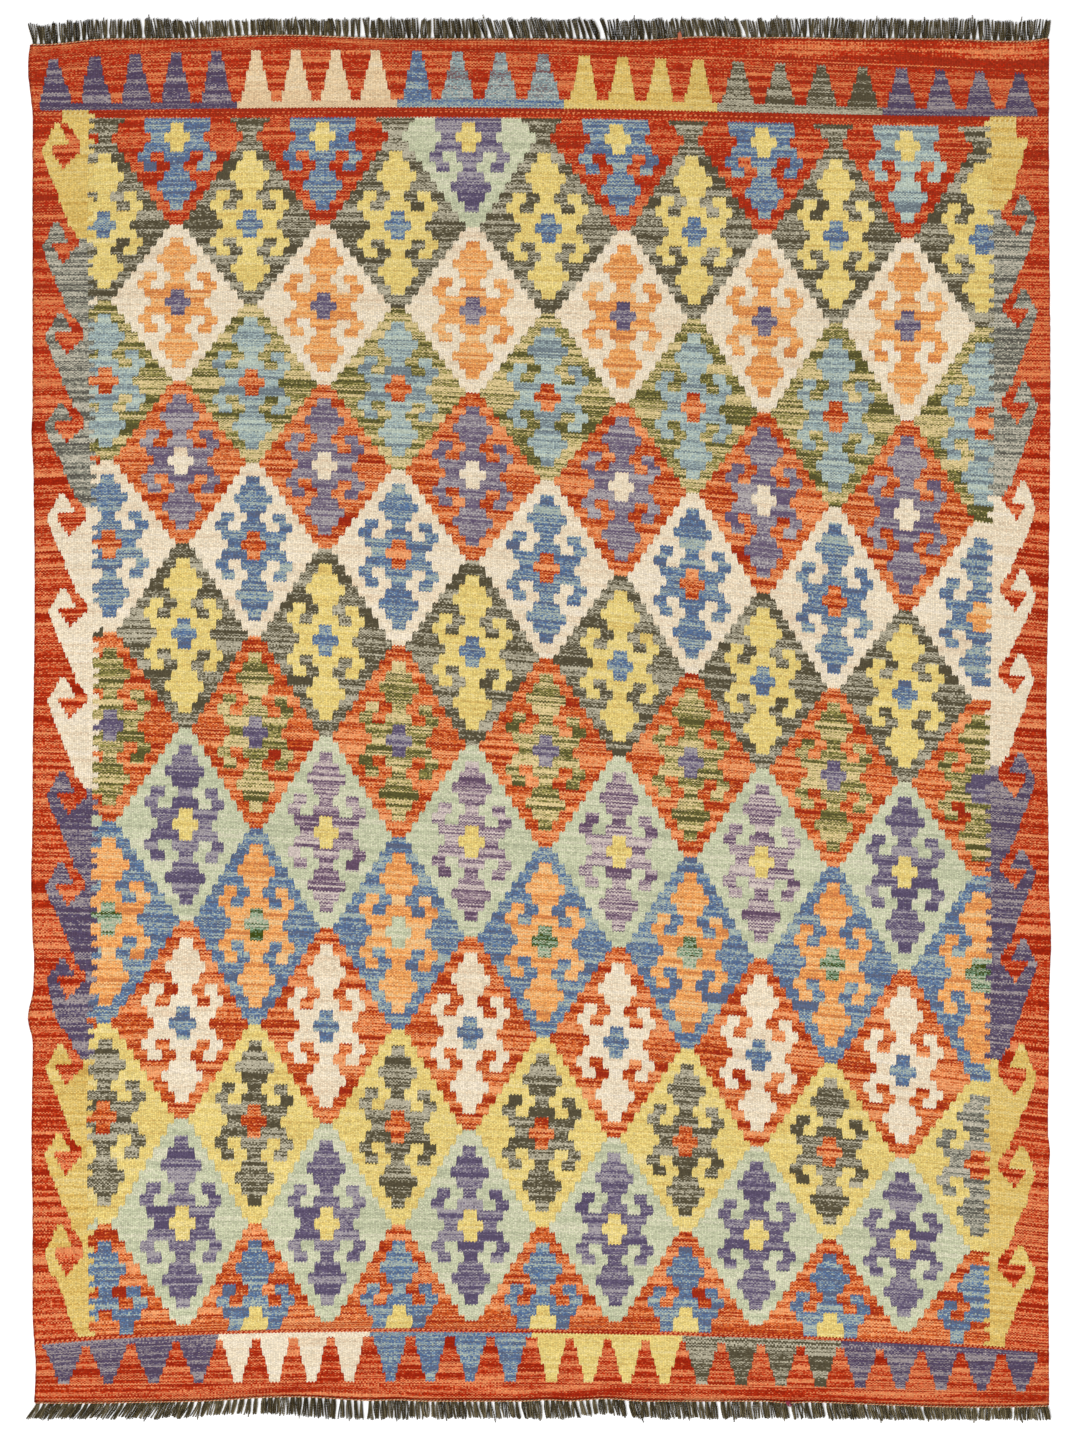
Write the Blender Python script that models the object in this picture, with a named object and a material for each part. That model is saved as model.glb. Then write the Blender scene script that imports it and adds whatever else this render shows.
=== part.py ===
"""Flat-woven wool rug with a warp fringe along both ends, lying on a floor.

Frame: metres, +Z up, floor at z = 0.  X runs across the rug and Y runs along its warps.
The cloth is one sheet that lies flat except where a soft crease lifts it.  Each fringe is
a row of locks of warp ends, fused at their roots into a narrow strip beside the cloth.
"""

from collections import namedtuple
from math import cos, hypot, pi, sin

import bmesh
import bpy

# Cloth
CLOTH_WIDTH = 1.500
CLOTH_LENGTH = 2.0085
CLOTH_THICKNESS = 0.0030
PACKING_VARIATION = 0.0002
PACKING_WAVES_ALONG = 9
PACKING_WAVES_ACROSS = 4
EDGE_THICKNESS = 0.0022
EDGE_ROUNDING = 0.005
COLUMN_PITCH = 0.037
ROW_PITCH = 0.037
NARROW_REACH = 0.062

# Fringes
LOCKS_PER_END = 144
STRIP_WIDTH = 0.0030
STRIP_PARTING = 0.0003
STRIP_CORNER_INSET = 0.0015
LOCK_LENGTH_VARIATION = 0.055
LEAN_VARIATION = 0.0006
TIP_LINE_FAR = 1.0333
TIP_LINE_NEAR = 1.0300

# Colours, linear RGB
CLOTH_COLOUR = (0.578, 0.084, 0.027)
FRINGE_COLOUR = (0.107, 0.084, 0.061)
WOOL_ROUGHNESS = 0.95

# A wave pushes an edge outwards by `out` at `at`, fading to nothing at `reach` each way.
Wave = namedtuple("Wave", "at out reach")

LEFT_EDGE = (
    Wave(0.965, 0.0065, 0.080),
    Wave(0.420, 0.0020, 0.040),
    Wave(0.190, -0.0030, 0.300),
    Wave(-0.240, 0.0018, 0.120),
    Wave(-0.360, -0.0022, 0.060),
    Wave(-0.438, 0.0065, 0.040),
    Wave(-0.620, 0.0015, 0.130),
    Wave(-0.960, -0.0045, 0.090),
)
RIGHT_EDGE = (
    Wave(0.500, 0.0020, 0.320),
    Wave(0.010, -0.0035, 0.260),
    Wave(-0.330, 0.0028, 0.090),
    Wave(-0.600, -0.0014, 0.120),
    Wave(-0.640, 0.0022, 0.030),
    Wave(-0.800, -0.0012, 0.160),
)
FAR_END = (
    Wave(-0.740, -0.0085, 0.110),
    Wave(-0.380, 0.0055, 0.180),
    Wave(0.120, -0.0025, 0.100),
    Wave(0.245, 0.0060, 0.070),
    Wave(0.360, 0.0020, 0.110),
    Wave(0.690, -0.0035, 0.110),
    Wave(0.750, 0.0025, 0.030),
)
NEAR_END = (
    Wave(-0.700, 0.0030, 0.240),
    Wave(-0.370, -0.0065, 0.150),
    Wave(-0.215, -0.0020, 0.050),
    Wave(0.010, -0.0020, 0.040),
    Wave(0.095, -0.0036, 0.060),
    Wave(0.365, 0.0060, 0.036),
    Wave(0.650, 0.0090, 0.330),
)
FAR_TIPS = (
    Wave(-0.745, -0.0080, 0.090),
    Wave(-0.490, -0.0030, 0.090),
    Wave(0.700, -0.0035, 0.080),
)
NEAR_TIPS = (
    Wave(-0.730, 0.0020, 0.090),
    Wave(-0.420, -0.0065, 0.150),
    Wave(0.090, -0.0065, 0.060),
    Wave(0.620, 0.0025, 0.300),
)

# A crease lifts the cloth by `height` along its line and fades out `half_width` either side.
Crease = namedtuple("Crease", "start_x start_y end_x end_y half_width height")

CREASES = (
    Crease(-0.295, -0.100, -0.295, -0.300, 0.014, 0.0020),
    Crease(0.253, -0.830, 0.253, -1.020, 0.014, 0.0026),
    Crease(-0.495, -0.464, -0.536, -0.487, 0.016, 0.0018),
    Crease(-0.765, -0.438, -0.715, -0.440, 0.032, 0.0030),
)
CREASE_FADE = 0.030

# Sideways travel of the lock tips, read between neighbouring entries.
Lean = namedtuple("Lean", "at shift")

FAR_LEAN = (
    Lean(-0.750, -0.004),
    Lean(-0.690, -0.001),
    Lean(-0.600, 0.000),
    Lean(-0.560, -0.006),
    Lean(-0.410, -0.002),
    Lean(-0.250, -0.001),
    Lean(-0.210, -0.004),
    Lean(-0.170, 0.000),
    Lean(-0.120, -0.003),
    Lean(-0.070, -0.009),
    Lean(0.000, -0.007),
    Lean(0.090, -0.010),
    Lean(0.130, -0.003),
    Lean(0.200, -0.004),
    Lean(0.240, -0.008),
    Lean(0.370, -0.004),
    Lean(0.420, 0.001),
    Lean(0.700, 0.001),
    Lean(0.750, 0.005),
)
NEAR_LEAN = (
    Lean(-0.750, -0.010),
    Lean(-0.650, -0.012),
    Lean(-0.550, -0.010),
    Lean(-0.490, -0.005),
    Lean(-0.410, -0.002),
    Lean(-0.300, 0.001),
    Lean(-0.190, 0.001),
    Lean(-0.120, 0.004),
    Lean(0.050, 0.004),
    Lean(0.130, 0.006),
    Lean(0.300, 0.003),
    Lean(0.420, 0.005),
    Lean(0.540, 0.006),
    Lean(0.690, 0.001),
    Lean(0.750, 0.005),
)

# Neighbouring locks stand `width` apart at their tips where the fringe parts.
Parting = namedtuple("Parting", "at width")

FAR_PARTINGS = (
    Parting(-0.711, 0.0030),
    Parting(-0.636, 0.0026),
    Parting(-0.584, 0.0042),
    Parting(-0.260, 0.0026),
    Parting(-0.183, 0.0040),
    Parting(-0.159, 0.0026),
    Parting(-0.045, 0.0040),
    Parting(-0.016, 0.0036),
    Parting(0.096, 0.0056),
    Parting(0.210, 0.0030),
    Parting(0.301, 0.0040),
    Parting(0.535, 0.0030),
)
NEAR_PARTINGS = (
    Parting(-0.470, 0.0028),
    Parting(-0.410, 0.0040),
    Parting(-0.300, 0.0036),
    Parting(-0.256, 0.0044),
    Parting(-0.163, 0.0030),
    Parting(-0.090, 0.0030),
    Parting(-0.030, 0.0044),
    Parting(0.006, 0.0050),
    Parting(0.129, 0.0066),
    Parting(0.257, 0.0056),
    Parting(0.366, 0.0056),
    Parting(0.420, 0.0040),
    Parting(0.565, 0.0030),
    Parting(0.693, 0.0038),
)

# Sections of a lock: how far out, share of the pitch it fills, height, share of the lean.
Section = namedtuple("Section", "along fill height lean")

ROOT = Section(0.00, 0.60, 0.0026, 0.00)
WAIST = Section(0.45, 0.86, 0.0028, 0.38)
TIP = Section(1.00, 0.92, 0.0020, 1.00)


def hump(distance, reach):
    """Smooth rise from 0 at `reach` to 1 at no distance."""
    if abs(distance) >= reach:
        return 0.0
    return 0.5 + 0.5 * cos(pi * distance / reach)


def push(waves, at):
    """How far the waves of an edge push it outwards at one place."""
    return sum(wave.out * hump(at - wave.at, wave.reach) for wave in waves)


def between(table, at):
    """Value of a two-column table at one place, read in a straight line between entries."""
    if at <= table[0][0]:
        return table[0][1]
    for (at_0, value_0), (at_1, value_1) in zip(table, table[1:]):
        if at <= at_1:
            return value_0 + (value_1 - value_0) * (at - at_0) / (at_1 - at_0)
    return table[-1][1]


def jitter(index, salt):
    """Repeatable scatter between -1 and 1."""
    value = sin(index * 12.9898 + salt * 78.233) * 43758.5453
    return 2.0 * (value % 1.0) - 1.0


def lift(x, y):
    """Height of the cloth's underside above the floor."""
    height = 0.0
    for crease in CREASES:
        run_x = crease.end_x - crease.start_x
        run_y = crease.end_y - crease.start_y
        length = hypot(run_x, run_y)
        off_x = x - crease.start_x
        off_y = y - crease.start_y
        along = (off_x * run_x + off_y * run_y) / length
        across = (off_x * run_y - off_y * run_x) / length
        beyond = max(-along, along - length, 0.0)
        rise = hump(across, crease.half_width) * hump(beyond, CREASE_FADE)
        height += crease.height * rise
    return height


def thickness(x, y):
    """Thickness of the cloth, which follows how tightly the weft is packed."""
    packing = cos(2 * pi * PACKING_WAVES_ALONG * y / CLOTH_LENGTH)
    packing *= cos(2 * pi * PACKING_WAVES_ACROSS * x / CLOTH_WIDTH)
    return CLOTH_THICKNESS + PACKING_VARIATION * packing


def stations(half, pitch, marks):
    """Grid positions from -half to half that pass through every mark."""
    inner = {mark for mark in marks if abs(mark) < half - 2 * EDGE_ROUNDING}
    rounding = {EDGE_ROUNDING - half, half - EDGE_ROUNDING}
    fixed = sorted(inner | rounding | {-half, half})
    places = [-half]
    for low, high in zip(fixed, fixed[1:]):
        steps = max(1, round((high - low) / pitch))
        places += [low + (high - low) * step / steps for step in range(1, steps + 1)]
    return places


def crease_marks(axis):
    """Grid positions along one axis that the creases need."""
    marks = []
    for crease in CREASES:
        start, end = (crease[axis], crease[axis + 2])
        half = crease.half_width
        if abs(end - start) < half:
            marks += [start - half, start - half / 2, start, start + half / 2, start + half]
        else:
            marks += [start, (start + end) / 2, end]
    return marks


def wave_marks(edges):
    """Grid positions that the narrow waves of two opposite edges need."""
    narrow = [wave for edge in edges for wave in edge if wave.reach < NARROW_REACH]
    marks = []
    for wave in narrow:
        marks += [wave.at - 0.6 * wave.reach, wave.at, wave.at + 0.6 * wave.reach]
    return marks


def place(across, along):
    """Plan position of a grid point, pulled out to the four wavy edges."""
    share_x = across / CLOTH_WIDTH + 0.5
    share_y = along / CLOTH_LENGTH + 0.5
    x = across - push(LEFT_EDGE, along) * (1 - share_x) + push(RIGHT_EDGE, along) * share_x
    y = along - push(NEAR_END, across) * (1 - share_y) + push(FAR_END, across) * share_y
    return x, y


def wool(name, colour):
    """Plain material of one piece."""
    material = bpy.data.materials.new(name)
    material.use_nodes = True
    shader = material.node_tree.nodes["Principled BSDF"]
    shader.inputs["Base Color"].default_value = (*colour, 1.0)
    shader.inputs["Roughness"].default_value = WOOL_ROUGHNESS
    shader.inputs["Metallic"].default_value = 0.0
    return material


def make_object(name, work, colour, origin_y):
    """Turn a finished bmesh into an object that has its origin on the rug's centre line."""
    bmesh.ops.translate(work, verts=work.verts[:], vec=(0.0, -origin_y, 0.0))
    bmesh.ops.recalc_face_normals(work, faces=work.faces[:])
    mesh = bpy.data.meshes.new(name)
    work.to_mesh(mesh)
    work.free()
    mesh.materials.append(wool(name, colour))
    made = bpy.data.objects.new(name, mesh)
    made.location.y = origin_y
    bpy.context.scene.collection.objects.link(made)
    return made


def build_cloth():
    """Build the sheet and return the plan lines of its near and far ends."""
    marks_x = crease_marks(0) + wave_marks((FAR_END, NEAR_END))
    marks_y = crease_marks(1) + wave_marks((LEFT_EDGE, RIGHT_EDGE))
    columns = stations(CLOTH_WIDTH / 2, COLUMN_PITCH, marks_x)
    rows = stations(CLOTH_LENGTH / 2, ROW_PITCH, marks_y)
    work = bmesh.new()
    grid = []
    for along in rows:
        places = [place(across, along) for across in columns]
        grid.append([work.verts.new((x, y, lift(x, y))) for x, y in places])
    for near_row, far_row in zip(grid, grid[1:]):
        for corners in zip(near_row, near_row[1:], far_row[1:], far_row):
            work.faces.new(corners)
    near_line = [(vertex.co.x, vertex.co.y) for vertex in grid[0]]
    far_line = [(vertex.co.x, vertex.co.y) for vertex in grid[-1]]

    rim = {tuple(vertex.co) for vertex in work.verts if vertex.is_boundary}
    upper = bmesh.ops.extrude_face_region(work, geom=work.faces[:])["geom"]
    for vertex in (item for item in upper if isinstance(item, bmesh.types.BMVert)):
        if tuple(vertex.co) in rim:
            vertex.co.z += EDGE_THICKNESS
        else:
            vertex.co.z += thickness(vertex.co.x, vertex.co.y)
    make_object("cloth", work, CLOTH_COLOUR, 0.0)
    return near_line, far_line


def lock_limits(start, width, section, leans, partings):
    """Left and right limit of every lock at one of its sections."""
    pitch = width / LOCKS_PER_END
    borders = []
    for index in range(LOCKS_PER_END + 1):
        root = start + index * pitch
        shift = between(leans, root) + LEAN_VARIATION * jitter(index, 1)
        borders.append(root + shift * section.lean)
    opened = {}
    for parting in partings:
        opened[round((parting.at - start) / pitch)] = parting.width * section.lean
    limits = []
    for index in range(LOCKS_PER_END):
        spare = (borders[index + 1] - borders[index]) * (1 - section.fill) / 2
        left = borders[index] + spare + opened.get(index, 0.0) / 2
        right = borders[index + 1] - spare - opened.get(index + 1, 0.0) / 2
        limits.append((left, right))
    return limits


def extrude_section(work, face, limits, y, height):
    """Extrude a lock's end face to its next section and return the new end face."""
    end = bmesh.ops.extrude_discrete_faces(work, faces=[face])["faces"][0]
    left, right = limits
    spots = ((left, height), (left, 0.0), (right, 0.0), (right, height))
    for vertex, (x, z) in zip(end.verts, spots):
        vertex.co = (x, y, z)
    return end


def build_fringe(name, cloth_line, side, tip_line, tip_waves, leans, partings):
    """Build one row of locks on the strip that follows the cloth's end."""
    start = cloth_line[0][0] + STRIP_CORNER_INSET
    width = cloth_line[-1][0] - STRIP_CORNER_INSET - start
    root_limits, waist_limits, tip_limits = (
        lock_limits(start, width, section, leans, partings) for section in (ROOT, WAIST, TIP)
    )
    roots = [limit for pair in root_limits for limit in pair]

    work = bmesh.new()
    rings = []
    for x in [start] + roots + [start + width]:
        inner = between(cloth_line, x) + side * STRIP_PARTING
        outer = inner + side * STRIP_WIDTH
        corners = ((inner, 0.0), (inner, ROOT.height), (outer, ROOT.height), (outer, 0.0))
        rings.append([work.verts.new((x, y, z)) for y, z in corners])
    work.faces.new(rings[0])
    work.faces.new(reversed(rings[-1]))
    stumps = []
    for stop, (ring, following) in enumerate(zip(rings, rings[1:])):
        for k in range(4):
            n = (k + 1) % 4
            face = work.faces.new((ring[k], ring[n], following[n], following[k]))
            if k == 2 and stop % 2 == 1:
                stumps.append(face)

    for stump, waist, tip in zip(stumps, waist_limits, tip_limits):
        root_y = stump.verts[0].co.y
        middle = sum(tip) / 2
        reach = side * (tip_line + push(tip_waves, middle)) - root_y
        trim = TIP.along + LOCK_LENGTH_VARIATION * jitter(middle, 2)
        past = (trim - WAIST.along) / (TIP.along - WAIST.along)
        trimmed = [inner + (outer - inner) * past for inner, outer in zip(waist, tip)]
        end = extrude_section(work, stump, waist, root_y + reach * WAIST.along, WAIST.height)
        extrude_section(work, end, trimmed, root_y + reach * trim, TIP.height)
    make_object(name, work, FRINGE_COLOUR, side * CLOTH_LENGTH / 2)


for leftover in list(bpy.data.objects):
    bpy.data.objects.remove(leftover, do_unlink=True)

near_cloth_line, far_cloth_line = build_cloth()
build_fringe("fringe_far", far_cloth_line, 1, TIP_LINE_FAR, FAR_TIPS, FAR_LEAN, FAR_PARTINGS)
build_fringe("fringe_near", near_cloth_line, -1, TIP_LINE_NEAR, NEAR_TIPS, NEAR_LEAN, NEAR_PARTINGS)
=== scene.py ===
from collections import namedtuple
from math import floor, hypot, pi

import bpy
import numpy as np
from bpy.props import FloatProperty, FloatVectorProperty, IntProperty, PointerProperty
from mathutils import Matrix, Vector


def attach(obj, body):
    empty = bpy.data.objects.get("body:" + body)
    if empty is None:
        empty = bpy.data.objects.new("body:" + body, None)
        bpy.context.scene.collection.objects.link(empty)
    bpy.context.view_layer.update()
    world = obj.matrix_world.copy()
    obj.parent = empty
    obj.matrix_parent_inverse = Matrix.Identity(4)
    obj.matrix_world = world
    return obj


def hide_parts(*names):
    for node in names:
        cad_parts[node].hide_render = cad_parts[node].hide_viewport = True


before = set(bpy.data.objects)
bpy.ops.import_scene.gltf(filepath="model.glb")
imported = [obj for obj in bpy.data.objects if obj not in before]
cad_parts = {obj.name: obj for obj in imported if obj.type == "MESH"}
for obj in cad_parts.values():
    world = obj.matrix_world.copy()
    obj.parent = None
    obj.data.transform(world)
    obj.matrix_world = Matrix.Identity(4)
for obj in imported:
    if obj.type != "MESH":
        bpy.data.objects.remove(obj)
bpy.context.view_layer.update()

bl_info = {
    "name": "Flat-woven rug",
    "version": (1, 0, 0),
    "blender": (4, 5, 0),
    "location": "View3D > Sidebar > Rug",
    "description": "Weaves the cloth, fringes and studio of a slit-woven wool rug",
    "category": "Object",
}

# Frame: metres, +Z up, floor at z = 0.  X runs across the rug and Y along its warps.
# The weave is charted in its own measure: columns are steps of a few warps, 0 on the rug's
# centre line, and rows are counted from the far edge of the field towards the near end.

BODY = "root"
STUDIO_GAIN = 1.22

# The chart's extent
HALF_COLUMNS = 77
FAR_ROW = -9.0
NEAR_ROW = 128.0
HALF_ROWS = int(2 * (NEAR_ROW - FAR_ROW))
TOOTH_TIPS_FAR = -7.0
BASE_FAR = -2.0
RED_LINE_FAR = -1.0
FIELD_FAR = 0.0
FIELD_NEAR = 120.0
BASE_NEAR = 120.5
TEETH_NEAR = 121.0
TOOTH_TIPS_NEAR = 126.0
SEAM_LEFT = 67.5
SEAM_RIGHT = 67.0
SEAM_INSIDE_LEFT = -67.4
SEAM_INSIDE_RIGHT = 66.9
SEAM_COMB = (1, 1, 0, 1, 0)

# ------------------------------------------------------------------ the field's chart
LATTICE_ROWS = 9
LATTICE_PITCH = 22
FIRST_LATTICE_ROW = 2

Diamonds = namedtuple("Diamonds", "ground motif cross")

DIAMONDS = (
    Diamonds("crimson", "blue", "yellow"),
    Diamonds("charcoal", "yellow", "blue"),
    Diamonds("ivory", "apricot", "indigo"),
    Diamonds("moss", "sky", "rust"),
    Diamonds("rust", "dusk", "ivory"),
    Diamonds("ivory", "blue", "rust"),
    Diamonds("charcoal", "yellow", "blue"),
    Diamonds("rust", "moss", "indigo"),
    Diamonds("mint", "mauve", "yellow"),
    Diamonds("blue", "apricot", "green"),
    Diamonds("rust", "ivory", "blue"),
    Diamonds("yellow", "charcoal", "rust"),
    Diamonds("mint", "indigo", "yellow"),
    Diamonds("rust", "blue", "yellow"),
)
CAP_YARN = "charcoal"

# Single diamonds that the weaver worked in other yarns
OddDiamond = namedtuple("OddDiamond", "lattice column ground motif cross")

ODD_DIAMONDS = (
    OddDiamond(0, -11, "mint", "indigo", "yellow"),
    OddDiamond(0, 55, "crimson", "sky", "yellow"),
    OddDiamond(5, 66, "ivory", "blue", "apricot"),
    OddDiamond(8, -55, "mint", "indigo", "yellow"),
    OddDiamond(8, 55, "mint", "indigo", "yellow"),
    OddDiamond(9, -22, "blue", "apricot", "mint"),
    OddDiamond(11, 66, "yellow", "ash", "rust"),
    OddDiamond(13, -66, "rust", "blue", "rust"),
    OddDiamond(13, 66, "rust", "blue", "rust"),
)

# A motif's courses from its centre row outwards, in columns from its centre line
Course = namedtuple("Course", "solid hook_from hook_to cross")

MOTIF = (
    Course(4, 0, 0, 2),
    Course(5, 0, 0, 1),
    Course(2, 4, 6, 0),
    Course(1, 3, 5, 0),
    Course(2, 0, 0, 0),
    Course(3, 0, 0, 0),
    Course(2, 0, 0, 0),
    Course(1, 0, 0, 0),
)
CUT_MOTIF_TOP = Course(5, 0, 0, 0)

# ------------------------------------------------------------------ the borders' charts
# Hooked triangles down each side: the row where a hook's head starts, and its yarn
Hook = namedtuple("Hook", "row yarn")


def hooks(*groups):
    """Hooks from the far end on, given as a yarn and the rows of the hooks worked in it."""
    return tuple(Hook(row, yarn) for yarn, *rows in groups for row in rows)


LEFT_HOOKS = hooks(
    ("straw", 0.5),
    ("ash", 10.5, 21.5, 31.5),
    ("ivory", 41.5, 51.5, 60.5),
    ("plum", 69.5, 78.0, 86.5),
    ("straw", 94.0, 102.5, 110.0),
)
RIGHT_HOOKS = hooks(
    ("straw", -4.5),
    ("ash", 6.5, 16.0, 25.0),
    ("ivory", 34.0, 42.0, 50.5),
    ("plum", 61.0, 71.0, 79.5),
    ("straw", 88.5, 98.5, 109.0),
)
CORNER_ROW_LEFT = 0.5
CORNER_ROW_RIGHT = 1.0
CORNER_MARGIN = 5.0
FIRST_HOOKS_END = 21.5
FIRST_HOOKS_SHIFT = 0.5
LAST_HOOK_ROWS = 10.0
LAST_HOOK_TAPER = 0.7
LAST_HOOK_TAPERS_AT = 8
BODY_TURNS_AT = 3
MARGIN_TURNS_AT = 30

# One hook from its head down, in columns inwards from the rug's edge
HookLevel = namedtuple("HookLevel", "head_from head_to body_from")

HOOK_HEAD = (
    HookLevel(3.75, 4.75, 6.0),
    HookLevel(3.25, 5.25, 6.75),
    HookLevel(3.0, 5.5, 7.25),
    HookLevel(2.5, 6.0, 7.75),
    HookLevel(2.0, 3.5, 7.75),
    HookLevel(2.25, 4.0, 7.0),
    HookLevel(2.5, 4.5, 6.25),
    HookLevel(2.75, 5.0, 5.5),
)
HOOK_BODY = (3.0, 3.25, 3.5, 4.0, 4.25, 4.5, 5.0, 5.25, 5.5, 6.0)
HOOK = HOOK_HEAD + tuple(HookLevel(0.0, 0.0, body_from) for body_from in HOOK_BODY)

# Teeth of the end borders: how many of a yarn, the first one's column and their pitch
Teeth = namedtuple("Teeth", "yarn count first pitch")

FAR_TEETH = (
    Teeth("plum", 5, -73.2, 6.05),
    Teeth("cream", 4, -43.0, 6.00),
    Teeth("blue", 1, -18.7, 6.00),
    Teeth("steel", 3, -12.6, 6.50),
    Teeth("straw", 4, 6.6, 5.75),
    Teeth("charcoal", 4, 29.9, 6.30),
    Teeth("plum", 4, 54.6, 5.97),
)
NEAR_TEETH = (
    Teeth("plum", 4, -72.6, 6.87),
    Teeth("ivory", 4, -46.0, 5.65),
    Teeth("blue", 4, -22.8, 6.05),
    Teeth("yellow", 4, 1.6, 5.70),
    Teeth("charcoal", 4, 24.4, 6.00),
    Teeth("plum", 5, 48.4, 6.10),
)
TOOTH_LEVELS = 5
TOOTH_TIP_HALF = 0.78
FAR_TOOTH_GAP = 0.85
NEAR_TOOTH_GAP = 0.67
BASE_START = -75.8
BASE_END = 75.2

# ------------------------------------------------------------------ how the rug lies
# Height along Y of chart rows at five places across the rug
Level = namedtuple("Level", "row left half_left middle half_right right")

LEVEL_PLACES = (-0.70, -0.35, 0.00, 0.35, 0.70)
LEVELS = (
    Level(-9.0, 1.0042, 1.0042, 1.0042, 1.0042, 1.0042),
    Level(-7.0, 0.975, 0.988, 0.982, 0.968, 0.953),
    Level(-2.0, 0.910, 0.913, 0.915, 0.907, 0.901),
    Level(-1.0, 0.899, 0.903, 0.902, 0.895, 0.890),
    Level(0.0, 0.888, 0.888, 0.887, 0.880, 0.875),
    Level(2.0, 0.855, 0.861, 0.858, 0.851, 0.842),
    Level(11.0, 0.727, 0.730, 0.724, 0.715, 0.706),
    Level(20.0, 0.619, 0.611, 0.599, 0.587, 0.578),
    Level(29.0, 0.499, 0.495, 0.475, 0.451, 0.436),
    Level(38.0, 0.382, 0.376, 0.353, 0.321, 0.285),
    Level(47.0, 0.257, 0.254, 0.224, 0.183, 0.143),
    Level(56.0, 0.129, 0.119, 0.090, 0.054, 0.026),
    Level(65.0, -0.006, -0.023, -0.046, -0.075, -0.108),
    Level(74.0, -0.148, -0.165, -0.188, -0.212, -0.234),
    Level(83.0, -0.291, -0.306, -0.328, -0.355, -0.380),
    Level(92.0, -0.449, -0.452, -0.469, -0.499, -0.541),
    Level(101.0, -0.584, -0.595, -0.611, -0.632, -0.663),
    Level(110.0, -0.745, -0.744, -0.749, -0.762, -0.790),
    Level(119.0, -0.898, -0.889, -0.887, -0.894, -0.914),
    Level(120.0, -0.912, -0.899, -0.899, -0.908, -0.927),
    Level(120.5, -0.919, -0.904, -0.905, -0.913, -0.931),
    Level(121.0, -0.927, -0.912, -0.912, -0.924, -0.937),
    Level(126.0, -0.980, -0.977, -0.977, -0.983, -0.991),
    Level(128.0, -1.0042, -1.0042, -1.0042, -1.0042, -1.0042),
)

# Sideways travel of chart columns, in millimetres, at a few rows
MILLIMETRE = 0.001
Sway = namedtuple("Sway", "row edge_a a b c d e f g h edge_h")

SWAY_COLUMNS = (-77, -66, -55, -33, -11, 11, 33, 55, 66, 77)
SWAYS = (
    Sway(-1, 0, 0, 0, 0, 0, 0, 0, 0, 0, 0),
    Sway(2, 0, 0, -1, -1, 0, 7, 8, 6, 4, 0),
    Sway(11, 0, -3, -2, 0, 7, 16, 9, 5, 8, 0),
    Sway(65, 0, 7, 11, 4, 6, 9, 6, 2, 4, 0),
    Sway(83, 0, 5, 14, 5, 4, 8, 3, 0, 2, 0),
    Sway(101, 0, -3, 6, 5, 1, 1, -3, -3, 1, 0),
    Sway(119, 0, 0, 9, 7, 5, 3, -4, 1, 1, 0),
    Sway(121, 0, 0, 0, 0, 0, 0, 0, 0, 0, 0),
)

# A wave pushes an edge outwards by `out` at `at`, fading to nothing at `reach` each way.
Wave = namedtuple("Wave", "at out reach")

LEFT_EDGE = (
    Wave(0.965, 0.0065, 0.080),
    Wave(0.420, 0.0020, 0.040),
    Wave(0.190, -0.0030, 0.300),
    Wave(-0.240, 0.0018, 0.120),
    Wave(-0.360, -0.0022, 0.060),
    Wave(-0.438, 0.0065, 0.040),
    Wave(-0.620, 0.0015, 0.130),
    Wave(-0.960, -0.0045, 0.090),
)
RIGHT_EDGE = (
    Wave(0.500, 0.0020, 0.320),
    Wave(0.010, -0.0035, 0.260),
    Wave(-0.330, 0.0028, 0.090),
    Wave(-0.600, -0.0014, 0.120),
    Wave(-0.640, 0.0022, 0.030),
    Wave(-0.800, -0.0012, 0.160),
)
FAR_END = (
    Wave(-0.740, -0.0085, 0.110),
    Wave(-0.380, 0.0055, 0.180),
    Wave(0.120, -0.0025, 0.100),
    Wave(0.245, 0.0032, 0.080),
    Wave(0.360, 0.0020, 0.110),
    Wave(0.690, -0.0035, 0.110),
    Wave(0.750, 0.0025, 0.030),
)
NEAR_END = (
    Wave(-0.700, 0.0030, 0.240),
    Wave(-0.370, -0.0065, 0.150),
    Wave(-0.215, -0.0020, 0.050),
    Wave(0.010, -0.0020, 0.040),
    Wave(0.095, -0.0036, 0.060),
    Wave(0.365, 0.0022, 0.036),
    Wave(0.650, 0.0090, 0.330),
)
FAR_TIPS = (
    Wave(-0.745, -0.0080, 0.090),
    Wave(-0.490, -0.0030, 0.090),
    Wave(0.700, -0.0035, 0.080),
)
NEAR_TIPS = (
    Wave(-0.730, 0.0020, 0.090),
    Wave(-0.420, -0.0065, 0.150),
    Wave(0.090, -0.0065, 0.060),
    Wave(0.620, 0.0025, 0.300),
)

# A crease lifts the cloth by `height` along its line and fades out `half_width` either side.
Crease = namedtuple("Crease", "start_x start_y end_x end_y half_width height")

CREASES = (
    Crease(-0.295, -0.100, -0.295, -0.300, 0.014, 0.0020),
    Crease(0.253, -0.830, 0.253, -1.020, 0.014, 0.0026),
    Crease(-0.495, -0.464, -0.536, -0.487, 0.016, 0.0018),
    Crease(-0.765, -0.438, -0.715, -0.440, 0.032, 0.0030),
)
CREASE_FADE = 0.030

# ------------------------------------------------------------------ the fringes' layout
LOCKS_PER_END = 144
STRANDS_PER_LOCK = 6
STRIP_CORNER_INSET = 0.0015
LOCK_LENGTH_VARIATION = 0.055
LEAN_VARIATION = 0.0022
ROOT_VARIATION = 0.0011
FILL_VARIATION = 0.62
LOCK_GAP = 0.0034
TIP_LINE_FAR = 1.0333
TIP_LINE_NEAR = 1.0300

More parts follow.
